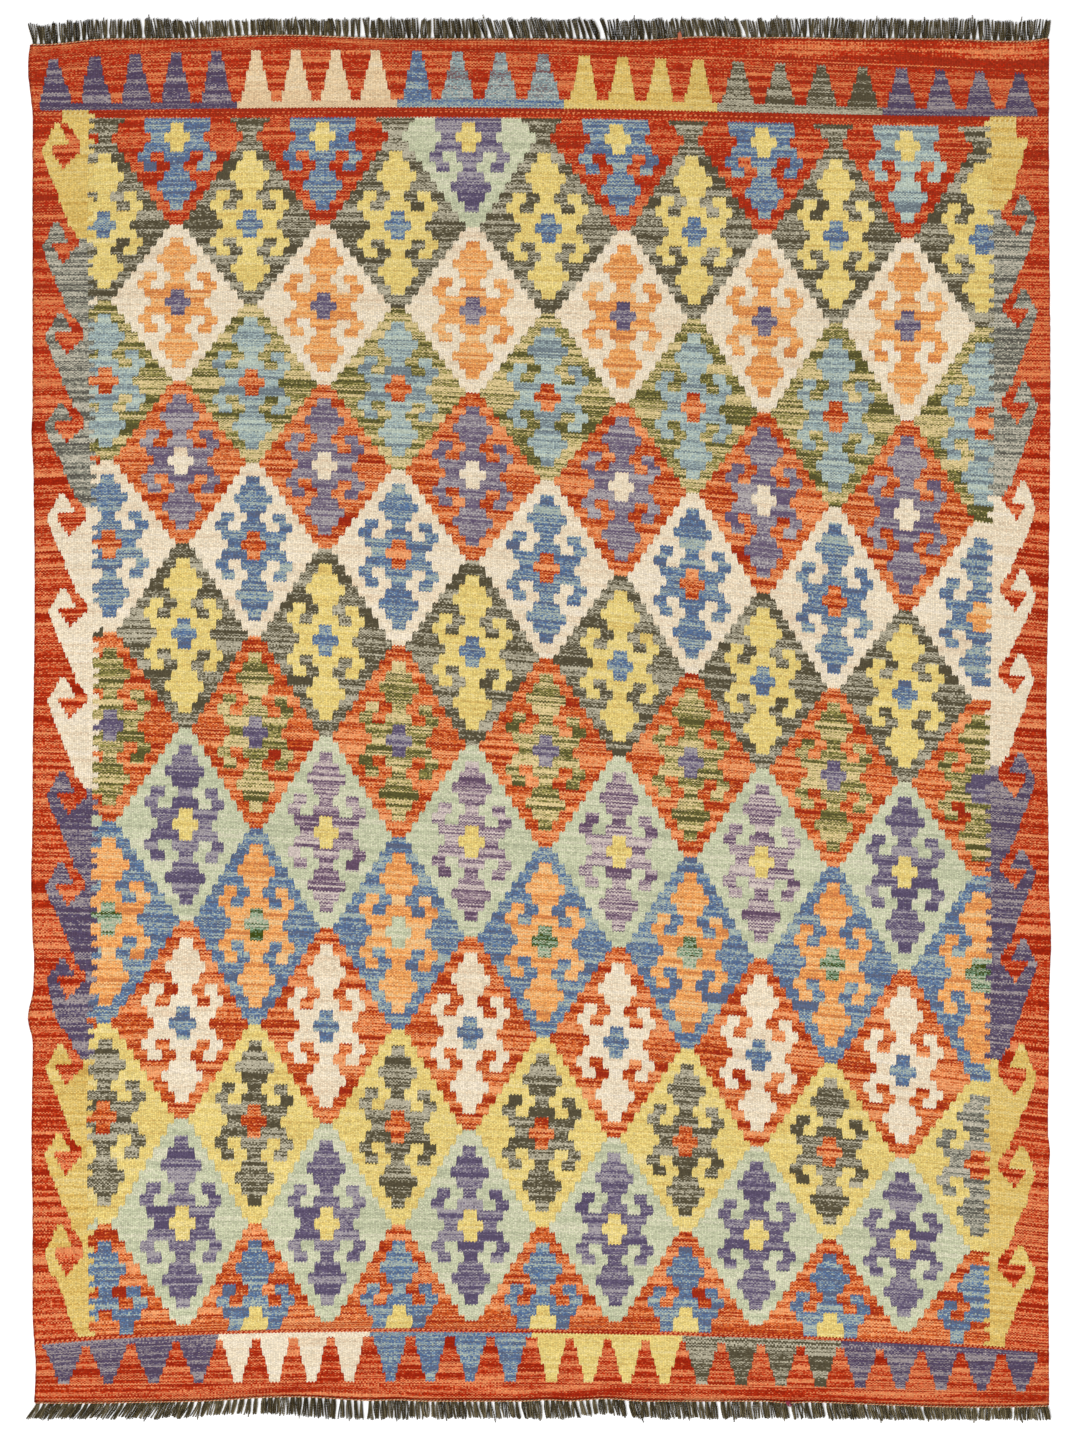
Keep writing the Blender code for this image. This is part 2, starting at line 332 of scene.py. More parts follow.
# Sideways travel of the lock tips, read between neighbouring entries
Lean = namedtuple("Lean", "at shift")

FAR_LEAN = (
    Lean(-0.750, -0.004),
    Lean(-0.690, -0.001),
    Lean(-0.600, 0.000),
    Lean(-0.560, -0.006),
    Lean(-0.410, -0.002),
    Lean(-0.250, -0.001),
    Lean(-0.210, -0.004),
    Lean(-0.170, 0.000),
    Lean(-0.120, -0.003),
    Lean(-0.070, -0.009),
    Lean(0.000, -0.007),
    Lean(0.090, -0.010),
    Lean(0.130, -0.003),
    Lean(0.200, -0.004),
    Lean(0.240, -0.008),
    Lean(0.370, -0.004),
    Lean(0.420, 0.001),
    Lean(0.700, 0.001),
    Lean(0.750, 0.005),
)
NEAR_LEAN = (
    Lean(-0.750, -0.013),
    Lean(-0.700, -0.016),
    Lean(-0.550, -0.014),
    Lean(-0.490, -0.008),
    Lean(-0.410, -0.002),
    Lean(-0.300, 0.001),
    Lean(-0.190, 0.001),
    Lean(-0.120, 0.004),
    Lean(0.050, 0.004),
    Lean(0.130, 0.006),
    Lean(0.300, 0.003),
    Lean(0.420, 0.005),
    Lean(0.540, 0.006),
    Lean(0.690, 0.001),
    Lean(0.750, 0.005),
)

# Neighbouring locks stand about `width` apart where the fringe parts, more at their tips.
Parting = namedtuple("Parting", "at width")

FAR_PARTINGS = (
    Parting(-0.711, 0.0030),
    Parting(-0.636, 0.0026),
    Parting(-0.584, 0.0042),
    Parting(-0.260, 0.0026),
    Parting(-0.183, 0.0040),
    Parting(-0.159, 0.0026),
    Parting(-0.045, 0.0040),
    Parting(-0.016, 0.0036),
    Parting(0.096, 0.0056),
    Parting(0.210, 0.0030),
    Parting(0.301, 0.0040),
    Parting(0.535, 0.0030),
)
NEAR_PARTINGS = (
    Parting(-0.470, 0.0028),
    Parting(-0.410, 0.0040),
    Parting(-0.300, 0.0036),
    Parting(-0.256, 0.0044),
    Parting(-0.163, 0.0030),
    Parting(-0.090, 0.0030),
    Parting(-0.030, 0.0044),
    Parting(0.006, 0.0050),
    Parting(0.129, 0.0066),
    Parting(0.257, 0.0056),
    Parting(0.366, 0.0056),
    Parting(0.420, 0.0040),
    Parting(0.565, 0.0030),
    Parting(0.693, 0.0038),
)

# The two fringes: `side` is 1 at the far end and -1 at the near end.
End = namedtuple("End", "node side tip_line tip_waves leans partings")

ENDS = (
    End("fringe_far", 1, TIP_LINE_FAR, FAR_TIPS, FAR_LEAN, FAR_PARTINGS),
    End("fringe_near", -1, TIP_LINE_NEAR, NEAR_TIPS, NEAR_LEAN, NEAR_PARTINGS),
)

# Loose ends of weft yarn that hang out over a fringe
LooseEnd = namedtuple("LooseEnd", "side at lean reach")

LOOSE_ENDS = (
    LooseEnd(1, 0.2055, -0.0010, 0.0120),
    LooseEnd(-1, 0.3640, 0.0045, 0.0075),
)

# Sections of a lock: how far out, and the shares of pitch, lean and parting that it takes
Section = namedtuple("Section", "along fill lean parted")

ROOT = Section(0.00, 0.52, 0.00, 0.75)
WAIST = Section(0.42, 1.04, 0.34, 1.00)
TIP = Section(1.00, 1.00, 1.00, 1.25)


# ------------------------------------------------------------------ the yarns
# A yarn's dark, middle and pale tones, how strongly its tone drifts in streaks, and how
# mottled its spinning is
Yarn = namedtuple("Yarn", "deep mid pale streaks mottle")

YARNS = {
    "crimson": Yarn("#A43018", "#C42808", "#E88854", 1.05, 0.7),
    "brick": Yarn("#A0240C", "#CC3810", "#F09460", 1.1, 0.7),
    "rust": Yarn("#A42C14", "#E06828", "#F8A870", 1.1, 0.7),
    "blue": Yarn("#606880", "#5478A8", "#B0BCB0", 0.95, 0.8),
    "steel": Yarn("#805858", "#88A4A8", "#C8C8BC", 0.6, 0.6),
    "sky": Yarn("#748088", "#A8BCBC", "#C4D0C0", 0.9, 0.6),
    "indigo": Yarn("#5C506C", "#706480", "#ACA4A8", 1.0, 0.7),
    "plum": Yarn("#584860", "#584C6C", "#A89C9C", 1.0, 0.7),
    "dusk": Yarn("#685874", "#847888", "#B8B0B0", 1.0, 0.7),
    "mauve": Yarn("#685068", "#A8909C", "#D8C8C0", 1.3, 0.6),
    "charcoal": Yarn("#58503C", "#605840", "#C0B8A0", 1.2, 0.9),
    "ash": Yarn("#5C5850", "#949484", "#CCC4B0", 1.0, 0.8),
    "moss": Yarn("#5C5830", "#A09850", "#E8D098", 1.4, 0.8),
    "mint": Yarn("#B8BC9C", "#D0D4B0", "#E0DCC0", 0.6, 0.5),
    "ivory": Yarn("#E4C8A8", "#F6E6C8", "#F8EAD6", 0.35, 0.35),
    "cream": Yarn("#DCB890", "#F0D4A8", "#F0DCBC", 0.35, 0.35),
    "yellow": Yarn("#D8B464", "#F0D880", "#F4E0A0", 0.4, 0.4),
    "straw": Yarn("#D0A450", "#E8C870", "#ECD490", 0.45, 0.4),
    "apricot": Yarn("#D48048", "#FFB060", "#F4C890", 0.8, 0.5),
    "green": Yarn("#445018", "#8CB090", "#C4C4A8", 1.2, 0.8),
}
TONES = ("deep", "mid", "pale")


# ------------------------------------------------------------------ settings
def linear(code):
    """Linear RGB of a hex code (the sRGB curve), less what the studio light adds to it."""
    channels = [channel / 255 for channel in bytes.fromhex(code[1:])]
    return tuple(
        (c / 12.92 if c <= 0.04045 else ((c + 0.055) / 1.055) ** 2.4) / STUDIO_GAIN
        for c in channels
    )


def yarn_tone(name, code):
    """A colour setting of one tone of one yarn."""
    return FloatVectorProperty(
        name=name,
        description=f"Wool colour: {name.lower()}",
        subtype="COLOR",
        size=3,
        min=0.0,
        max=1.0,
        default=linear(code),
    )


def length(name, description, default):
    """A size setting in metres."""
    return FloatProperty(
        name=name,
        description=description,
        default=default,
        min=0.0,
        soft_max=10 * default,
        precision=5,
        unit="LENGTH",
    )


class RugSizes(bpy.types.PropertyGroup):
    """Sizes of the cloth and its fringes."""

    cloth_width: length("Cloth width", "Across the rug, between its straight edges", 1.5)
    cloth_thickness: length("Cloth thickness", "Thickness of the packed weave", 0.003)
    edge_thickness: length("Edge thickness", "Thickness where the cloth rounds off", 0.0022)
    rib_depth: length("Rib depth", "Relief of the weft beads over the warps", 0.0005)
    strand_radius: length("Strand radius", "Radius of one twisted warp end", 0.0013)
    strand_pitch: length("Strand twist pitch", "Length of one full turn of a warp end", 0.0075)
    cord_radius: length("Twining radius", "Radius of the cord that holds the last weft", 0.0011)
    cord_pitch: length("Twining pitch", "Length of one full turn of the twining", 0.0052)
    warps_per_step: IntProperty(
        name="Warps per step",
        description="Warps in one column of the chart",
        default=4,
        min=1,
        max=12,
    )
    picks_per_half_row: IntProperty(
        name="Picks per half row",
        description="Weft passes in half a row of the chart",
        default=14,
        min=2,
        max=40,
    )


class YarnColours(bpy.types.PropertyGroup):
    """Tones of the wool.  The woven yarns' own tones are added below, from their table."""

    fringe_deep: yarn_tone("Warp wool, dark", "#443C2C")
    fringe_mid: yarn_tone("Warp wool, middle", "#685C40")
    fringe_pale: yarn_tone("Warp wool, pale", "#94886C")
    twining_deep: yarn_tone("Twining, dark", "#A04828")
    twining_pale: yarn_tone("Twining, pale", "#F0D4A4")
    loose_salmon: yarn_tone("Loose end, salmon", "#D8886C")
    loose_wine: yarn_tone("Loose end, wine", "#983848")


for yarn_name, yarn in YARNS.items():
    for tone in TONES:
        setting = yarn_tone(f"{yarn_name.capitalize()}, {tone}", getattr(yarn, tone))
        YarnColours.__annotations__[f"{yarn_name}_{tone}"] = setting


# ------------------------------------------------------------------ shared curves
def hump(distance, reach):
    """Smooth rise from 0 at `reach` to 1 at no distance."""
    share = np.minimum(np.abs(distance) / reach, 1.0)
    return 0.5 + 0.5 * np.cos(pi * share)


def push(waves, at):
    """How far the waves of an edge push it outwards."""
    return sum(wave.out * hump(at - wave.at, wave.reach) for wave in waves)


SCATTER_STEP = 12.9898
SCATTER_SALT = 78.233
SCATTER_SCALE = 43758.5453


def jitter(index, salt):
    """Repeatable scatter between -1 and 1.  Every use has a salt of its own."""
    value = np.sin(np.asarray(index) * SCATTER_STEP + salt * SCATTER_SALT) * SCATTER_SCALE
    return 2.0 * (value % 1.0) - 1.0


def lift(x, y):
    """Height of the cloth's underside above the floor."""
    height = np.zeros_like(x)
    for crease in CREASES:
        run_x = crease.end_x - crease.start_x
        run_y = crease.end_y - crease.start_y
        run = hypot(run_x, run_y)
        off_x = x - crease.start_x
        off_y = y - crease.start_y
        along = (off_x * run_x + off_y * run_y) / run
        across = (off_x * run_y - off_y * run_x) / run
        beyond = np.maximum(np.maximum(-along, along - run), 0.0)
        height += crease.height * hump(across, crease.half_width) * hump(beyond, CREASE_FADE)
    return height


# ------------------------------------------------------------------ reading the chart
def diamond_yarn(lattice, column, offset, away):
    """Yarn inside one diamond, `offset` rows and `away` columns from its centre."""
    if lattice < 0:
        return CAP_YARN
    lattice = min(lattice, len(DIAMONDS) - 1)
    colours = DIAMONDS[lattice]
    for odd in ODD_DIAMONDS:
        if (odd.lattice, odd.column) == (lattice, column):
            colours = odd
    if abs(offset) >= len(MOTIF):
        return colours.ground
    course = MOTIF[abs(offset)]
    if lattice == 0 and offset == -FIRST_LATTICE_ROW:
        course = CUT_MOTIF_TOP
    if lattice == len(DIAMONDS) - 1 and offset == 1:
        course = MOTIF[0]
    if away < course.cross:
        return colours.cross
    if away < course.solid or course.hook_from < away < course.hook_to:
        return colours.motif
    return colours.ground


def nearest_centre(column, first):
    """Centre column of the nearest diamond in a lattice row whose diamonds pass `first`."""
    return first + LATTICE_PITCH * round((column - first) / LATTICE_PITCH)


def field_yarn(column, row):
    """Yarn of the field's interlocking diamonds."""
    centre_row = floor(row + 0.5)
    lattice, offset = divmod(centre_row - FIRST_LATTICE_ROW, LATTICE_ROWS)
    first = 0 if lattice % 2 else LATTICE_PITCH // 2
    centre = nearest_centre(column, first)
    away = abs(column - centre)
    if away < LATTICE_ROWS + 1 - offset:
        return diamond_yarn(lattice, centre, offset, away)
    centre = nearest_centre(column, LATTICE_PITCH // 2 - first)
    away = abs(column - centre)
    if offset == 0 and row < centre_row:
        return diamond_yarn(lattice - 1, centre, LATTICE_ROWS, away)
    return diamond_yarn(lattice + 1, centre, offset - LATTICE_ROWS, away)


def margin_yarn(row):
    """Red yarn of the plain margins."""
    return "crimson" if row < MARGIN_TURNS_AT else "brick"


def side_yarn(column, row, hooks, corner_row):
    """Yarn of the hooked triangles along one side."""
    inwards = HALF_COLUMNS - abs(column)
    if row < FIRST_HOOKS_END and column < 0:
        inwards += FIRST_HOOKS_SHIFT
    if row < corner_row:
        return hooks[0].yarn if inwards > CORNER_MARGIN else margin_yarn(row)
    index = max(n for n, hook in enumerate(hooks) if hook.row <= row)
    hook = hooks[index]
    end = hooks[index + 1].row if index + 1 < len(hooks) else hook.row + LAST_HOOK_ROWS
    level = min(len(HOOK) - 1, int(len(HOOK) * (row - hook.row) / (end - hook.row)))
    shape = HOOK[level]
    if shape.head_from < inwards < shape.head_to:
        return hook.yarn
    taper = LAST_HOOK_TAPER if hook is hooks[-1] and level >= LAST_HOOK_TAPERS_AT else 0.0
    if inwards < shape.body_from + taper:
        return margin_yarn(row)
    return hooks[max(index - 1, 0)].yarn if level < BODY_TURNS_AT else hook.yarn


def tooth_yarn(column, out, teeth, gap, plain):
    """Yarn of an end border, `out` rows from the base line of its teeth."""
    level = int(out)
    if level >= TOOTH_LEVELS:
        return plain
    for group in teeth:
        base_half = group.pitch / 2 - gap
        half = base_half + (TOOTH_TIP_HALF - base_half) * level / (TOOTH_LEVELS - 1)
        for n in range(group.count):
            if abs(column - group.first - n * group.pitch) < half:
                return group.yarn
    return plain


def base_yarn(column, teeth, plain):
    """Yarn of the base line that joins the teeth, between the plain margins."""
    if not BASE_START < column < BASE_END:
        return plain
    places = [(abs(column - g.first - n * g.pitch), g.yarn) for g in teeth for n in range(g.count)]
    yarn = min(places)[1]
    return "blue" if yarn == "steel" else yarn


def yarn_at(column, row):
    """Yarn at one place of the chart."""
    if row < BASE_FAR:
        return tooth_yarn(column, BASE_FAR - row, FAR_TEETH, FAR_TOOTH_GAP, "crimson")
    if row < RED_LINE_FAR:
        return base_yarn(column, FAR_TEETH, "crimson")
    if row > TEETH_NEAR:
        return tooth_yarn(column, row - TEETH_NEAR, NEAR_TEETH, NEAR_TOOTH_GAP, "brick")
    if row > BASE_NEAR:
        return base_yarn(column, NEAR_TEETH, "brick")
    if row > FIELD_NEAR:
        return "brick"
    comb = SEAM_COMB[int(2 * (row - FAR_ROW)) % len(SEAM_COMB)]
    if column < -SEAM_LEFT - comb:
        return side_yarn(column, row, LEFT_HOOKS, CORNER_ROW_LEFT)
    if column > SEAM_RIGHT + comb:
        return side_yarn(column, row, RIGHT_HOOKS, CORNER_ROW_RIGHT)
    if row < FIELD_FAR:
        return "crimson"
    return field_yarn(min(max(column, SEAM_INSIDE_LEFT), SEAM_INSIDE_RIGHT), row)


# ------------------------------------------------------------------ threads and runs
# A run is one stretch of a half row that is woven in one yarn.  `origin` is where its thread
# stands at the first pick of the whole rug, so that the thread's tones carry on upwards.
Run = namedtuple("Run", "start end yarn origin")

THREAD_SPREAD = 4000.0
HALF_ROW_STEP = 7.0


def yarn_stretches(half_row, warps):
    """Start, end and yarn of each stretch of one yarn in a half row."""
    row = FAR_ROW + (half_row + 0.5) / 2
    count = 2 * HALF_COLUMNS * warps
    yarns = [yarn_at(-HALF_COLUMNS + (i + 0.5) / warps, row) for i in range(count)]
    turns = [0] + [i for i in range(1, count) if yarns[i] != yarns[i - 1]] + [count]
    return [
        (-HALF_COLUMNS + start / warps, -HALF_COLUMNS + end / warps, yarns[start])
        for start, end in zip(turns, turns[1:])
    ]


def weave_runs(warps, picks):
    """Runs of every half row.  A thread goes on into the next half row where it can."""
    rows = []
    previous = []
    for half_row in range(HALF_ROWS):
        pick = half_row * picks
        waiting = list(previous)
        runs = []
        for start, end, yarn in yarn_stretches(half_row, warps):
            width = end - start
            match = [r for r in waiting if r.yarn == yarn and r.start < end and start < r.end]
            if match:
                waiting.remove(match[0])
                origin = match[0].origin + pick * (match[0].end - match[0].start - width)
            else:
                place = start + HALF_ROW_STEP * half_row
                origin = THREAD_SPREAD * float(jitter(place, 3)) - pick * width
            runs.append(Run(start, end, yarn, origin))
        rows.append(runs)
        previous = runs
    return rows


# ------------------------------------------------------------------ where the chart lies
def cloth_place(columns, rows, width):
    """Plan position of chart places, with the rug's drift, sway and wavy edges."""
    x = columns * width / (2 * HALF_COLUMNS)
    level_rows = [level.row for level in LEVELS]
    degree = len(LEVEL_PLACES) - 1
    fits = np.array([np.polyfit(LEVEL_PLACES, level[1:], degree) for level in LEVELS])
    y = np.zeros_like(x)
    for power in range(fits.shape[1]):
        y = y * x + np.interp(rows, level_rows, fits[:, power])

    sway_rows = [sway.row for sway in SWAYS]
    marks = np.array(SWAY_COLUMNS, float)
    nearest = np.searchsorted(SWAY_COLUMNS, columns, side="right") - 1
    nearest = np.clip(nearest, 0, len(marks) - 2)
    share = (columns - marks[nearest]) / (marks[nearest + 1] - marks[nearest])
    _, *travels = zip(*SWAYS)
    shifts = np.array([np.interp(rows, sway_rows, travel) for travel in travels])
    low = np.take_along_axis(shifts, nearest[None], 0)[0]
    high = np.take_along_axis(shifts, nearest[None] + 1, 0)[0]
    x = x + MILLIMETRE * (low + (high - low) * share)

    grip = np.abs(columns / HALF_COLUMNS) ** 3
    x = x + grip * np.where(columns < 0, -push(LEFT_EDGE, y), push(RIGHT_EDGE, y))
    far = np.clip((TOOTH_TIPS_FAR - rows) / (TOOTH_TIPS_FAR - FAR_ROW), 0, 1)
    near = np.clip((rows - TOOTH_TIPS_NEAR) / (NEAR_ROW - TOOTH_TIPS_NEAR), 0, 1)
    y = y + far * push(FAR_END, x) - near * push(NEAR_END, x)
    return x, y


END_PLACES = 617


def end_line(side, width):
    """Places along the cloth's far (side 1) or near (side -1) end, from left to right."""
    columns = np.linspace(-HALF_COLUMNS, HALF_COLUMNS, END_PLACES)
    row = FAR_ROW if side > 0 else NEAR_ROW
    return cloth_place(columns, np.full_like(columns, row), width)


# ------------------------------------------------------------------ cloth mesh
STATION_STEP = 2
EDGE_STATION = 0.5
CREASE_STATION = 0.5
CREASE_MARGIN = 0.04
SELVEDGE_WANDER = 0.0004
RIM_INSET = 0.0006
RIM_LOW = 0.15
SLIT_DIP = 0.00012
SLIT_PULL_X = 0.0007
SLIT_PULL_Y = 0.0005
RIPPLE = 0.00015
RIPPLE_ACROSS = (23, 9, 5)
RIPPLE_ALONG = (31, 4)
SLANT = 0.10
SLANT_REACH = 1.3
SLIT_ROOM = 0.4


def stations(runs, runs_below, half_row, width):
    """Columns where the mesh of one half row is cut."""
    step = width / (2 * HALF_COLUMNS)
    places = set(range(-HALF_COLUMNS, HALF_COLUMNS + 1, STATION_STEP))
    places |= {EDGE_STATION - HALF_COLUMNS, HALF_COLUMNS - EDGE_STATION}
    places |= {run.start for run in runs} | {run.start for run in runs_below}
    level_rows, _, _, middles, _, _ = zip(*LEVELS)
    middle_y = float(np.interp(FAR_ROW + (half_row + 0.5) / 2, level_rows, middles))
    for crease in CREASES:
        reach = crease.half_width + CREASE_FADE + CREASE_MARGIN
        low_y, high_y = sorted((crease.start_y, crease.end_y))
        if low_y - reach < middle_y < high_y + reach:
            low_x, high_x = sorted((crease.start_x, crease.end_x))
            first = max(floor((low_x - crease.half_width) / step), -HALF_COLUMNS)
            last = min(floor((high_x + crease.half_width) / step) + 1, HALF_COLUMNS)
            count = int((last - first) / CREASE_STATION)
            places |= {first + CREASE_STATION * n for n in range(count + 1)}
    return sorted(float(place) for place in places)


def run_over(runs, column):
    """The run that covers a column."""
    return next(run for run in runs if run.start <= column < run.end)


class Face:
    """One patch of the mesh, with its half row, its run and the run below it."""

    def __init__(self, corners, half_row, run, below):
        self.corners = corners
        self.half_row = half_row
        self.run = run
        self.below = below

    def moved(self, corners):
        """The same weave on other corners."""
        return Face(corners, self.half_row, self.run, self.below)


def neighbouring_turns(runs, runs_below):
    """Pairs of places, one in each half row, where the same two yarns turn back."""
    pairs = []
    for left, right in zip(runs, runs[1:]):
        for left_below, right_below in zip(runs_below, runs_below[1:]):
            step = abs(right_below.start - right.start)
            same = (left.yarn, right.yarn) == (left_below.yarn, right_below.yarn)
            if same and 0 < step <= SLANT_REACH:
                pairs.append((right.start, right_below.start))
    return pairs


def woven_grid(sizes):
    """Cut the cloth into patches of one yarn each.

    Gives the columns and rows of the grid's points, the point numbers of each line, the
    faces, the points that stand on slits and how far each of those slants.
    """
    rows = weave_runs(sizes.warps_per_step, sizes.picks_per_half_row)
    below = rows[1:] + rows[-1:]
    cuts = [
        stations(runs, under, n, sizes.cloth_width)
        for n, (runs, under) in enumerate(zip(rows, below))
    ]
    columns, levels, lines = [], [], []
    for n in range(HALF_ROWS + 1):
        places = sorted(set().union(*cuts[max(n - 1, 0):n + 1]))
        numbers = range(len(columns), len(columns) + len(places))
        lines.append(dict(zip(places, numbers)))
        columns += places
        levels += [FAR_ROW + n / 2] * len(places)
    faces, slits = [], set()
    for n, cut in enumerate(cuts):
        far_line, near_line = lines[n], lines[n + 1]
        for start, end in zip(cut, cut[1:]):
            far_part = [number for place, number in far_line.items() if start <= place <= end]
            near_part = [number for place, number in near_line.items() if start <= place <= end]
            middle = (start + end) / 2
            run, under = run_over(rows[n], middle), run_over(below[n], middle)
            faces.append(Face(near_part + far_part[::-1], n, run, under))
        for run in rows[n][1:]:
            slits |= {far_line[run.start], near_line[run.start]}
    slants = np.zeros(len(columns))
    for n in range(1, HALF_ROWS):
        for above, below_it in neighbouring_turns(rows[n - 1], rows[n]):
            slants[lines[n][above]] += below_it - above
            slants[lines[n][below_it]] += above - below_it
    numbers = [list(line.values()) for line in lines]
    return np.array(columns), np.array(levels), numbers, faces, sorted(slits), slants


def pulled_apart(x, y, pulled, slants, step):
    """Places of the grid's points once the weave has pulled its slits open and aslant."""
    order = np.arange(len(x))
    across = pulled * (SLIT_PULL_X * jitter(order, 31) + SLANT * slants * step)
    spaces = np.abs(np.diff(x))
    room = SLIT_ROOM * np.minimum(np.append(1.0, spaces), np.append(spaces, 1.0))
    return x + np.clip(across, -room, room), y + pulled * SLIT_PULL_Y * jitter(order, 37)


def rippled(x, y):
    """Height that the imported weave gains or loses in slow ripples."""
    wide, bend, swing = RIPPLE_ACROSS
    long, skew = RIPPLE_ALONG
    return RIPPLE * np.sin(wide * x + bend * np.sin(swing * y)) * np.sin(long * y + skew * x)


def cloth_mesh(sizes):
    """Both sides and the rounded rim of the cloth as one closed mesh."""
    columns, levels, lines, woven, slits, slants = woven_grid(sizes)
    count = len(columns)
    x, y = cloth_place(columns, levels, sizes.cloth_width)
    ring = lines[0] + [line[-1] for line in lines[1:-1]]
    ring += lines[-1][::-1] + [line[0] for line in lines[1:-1]][::-1]
    on_rim = np.zeros(count, bool)
    on_rim[ring] = True
    at_side = np.abs(columns) == HALF_COLUMNS
    x = x + at_side * np.sign(columns) * SELVEDGE_WANDER * jitter(levels, 5)
    pulled = np.zeros(count, bool)
    pulled[slits] = True
    pulled &= ~on_rim
    x, y = pulled_apart(x, y, pulled, slants, sizes.cloth_width / (2 * HALF_COLUMNS))

    gap = lift(x, y)
    dip = pulled * SLIT_DIP
    inner_top = sizes.cloth_thickness + rippled(x, y) - dip
    top = gap + np.where(on_rim, sizes.edge_thickness, inner_top)
    bottom = gap + np.where(on_rim, RIM_LOW * sizes.edge_thickness, dip)
    inset_x = x - RIM_INSET * np.sign(columns) * at_side
    inset_y = y + RIM_INSET * ((levels == NEAR_ROW) * 1.0 - (levels == FAR_ROW) * 1.0)
    middle = gap[ring] + 0.5 * sizes.edge_thickness
    points = np.concatenate((
        np.stack((inset_x, inset_y, top), 1),
        np.stack((inset_x, inset_y, bottom), 1),
        np.stack((x[ring], y[ring], middle), 1),
    ))
    weave = np.stack((columns, levels, np.zeros(count)), 1)
    weave = np.concatenate((weave, weave, weave[ring]))

    faces = woven + [
        face.moved([number + count for number in reversed(face.corners)]) for face in woven
    ]
    owner = {number: face for face in woven for number in face.corners}
    for n, a in enumerate(ring):
        following = (n + 1) % len(ring)
        b = ring[following]
        middle_a, middle_b = 2 * count + n, 2 * count + following
        faces.append(owner[a].moved([b, a, middle_a, middle_b]))
        faces.append(owner[a].moved([middle_b, middle_a, a + count, b + count]))
    return points, faces, weave


def mesh_object(name, points, faces, materials, smooth=True):
    """Make a piece from points and faces."""
    mesh = bpy.data.meshes.new(name)
    mesh.from_pydata(points.tolist(), [], faces)
    mesh.polygons.foreach_set("use_smooth", [smooth] * len(mesh.polygons))
    for material in materials:
        mesh.materials.append(material)
    piece = bpy.data.objects.new(name, mesh)
    bpy.context.scene.collection.objects.link(piece)
    return piece


def add_numbers(mesh, name, domain, values):
    """Store one number or one triple for every point or face."""
    values = np.asarray(values, np.float32)
    kind, field = ("FLOAT", "value") if values.ndim == 1 else ("FLOAT_VECTOR", "vector")
    attribute = mesh.attributes.new(name, kind, domain)
    attribute.data.foreach_set(field, values.ravel())


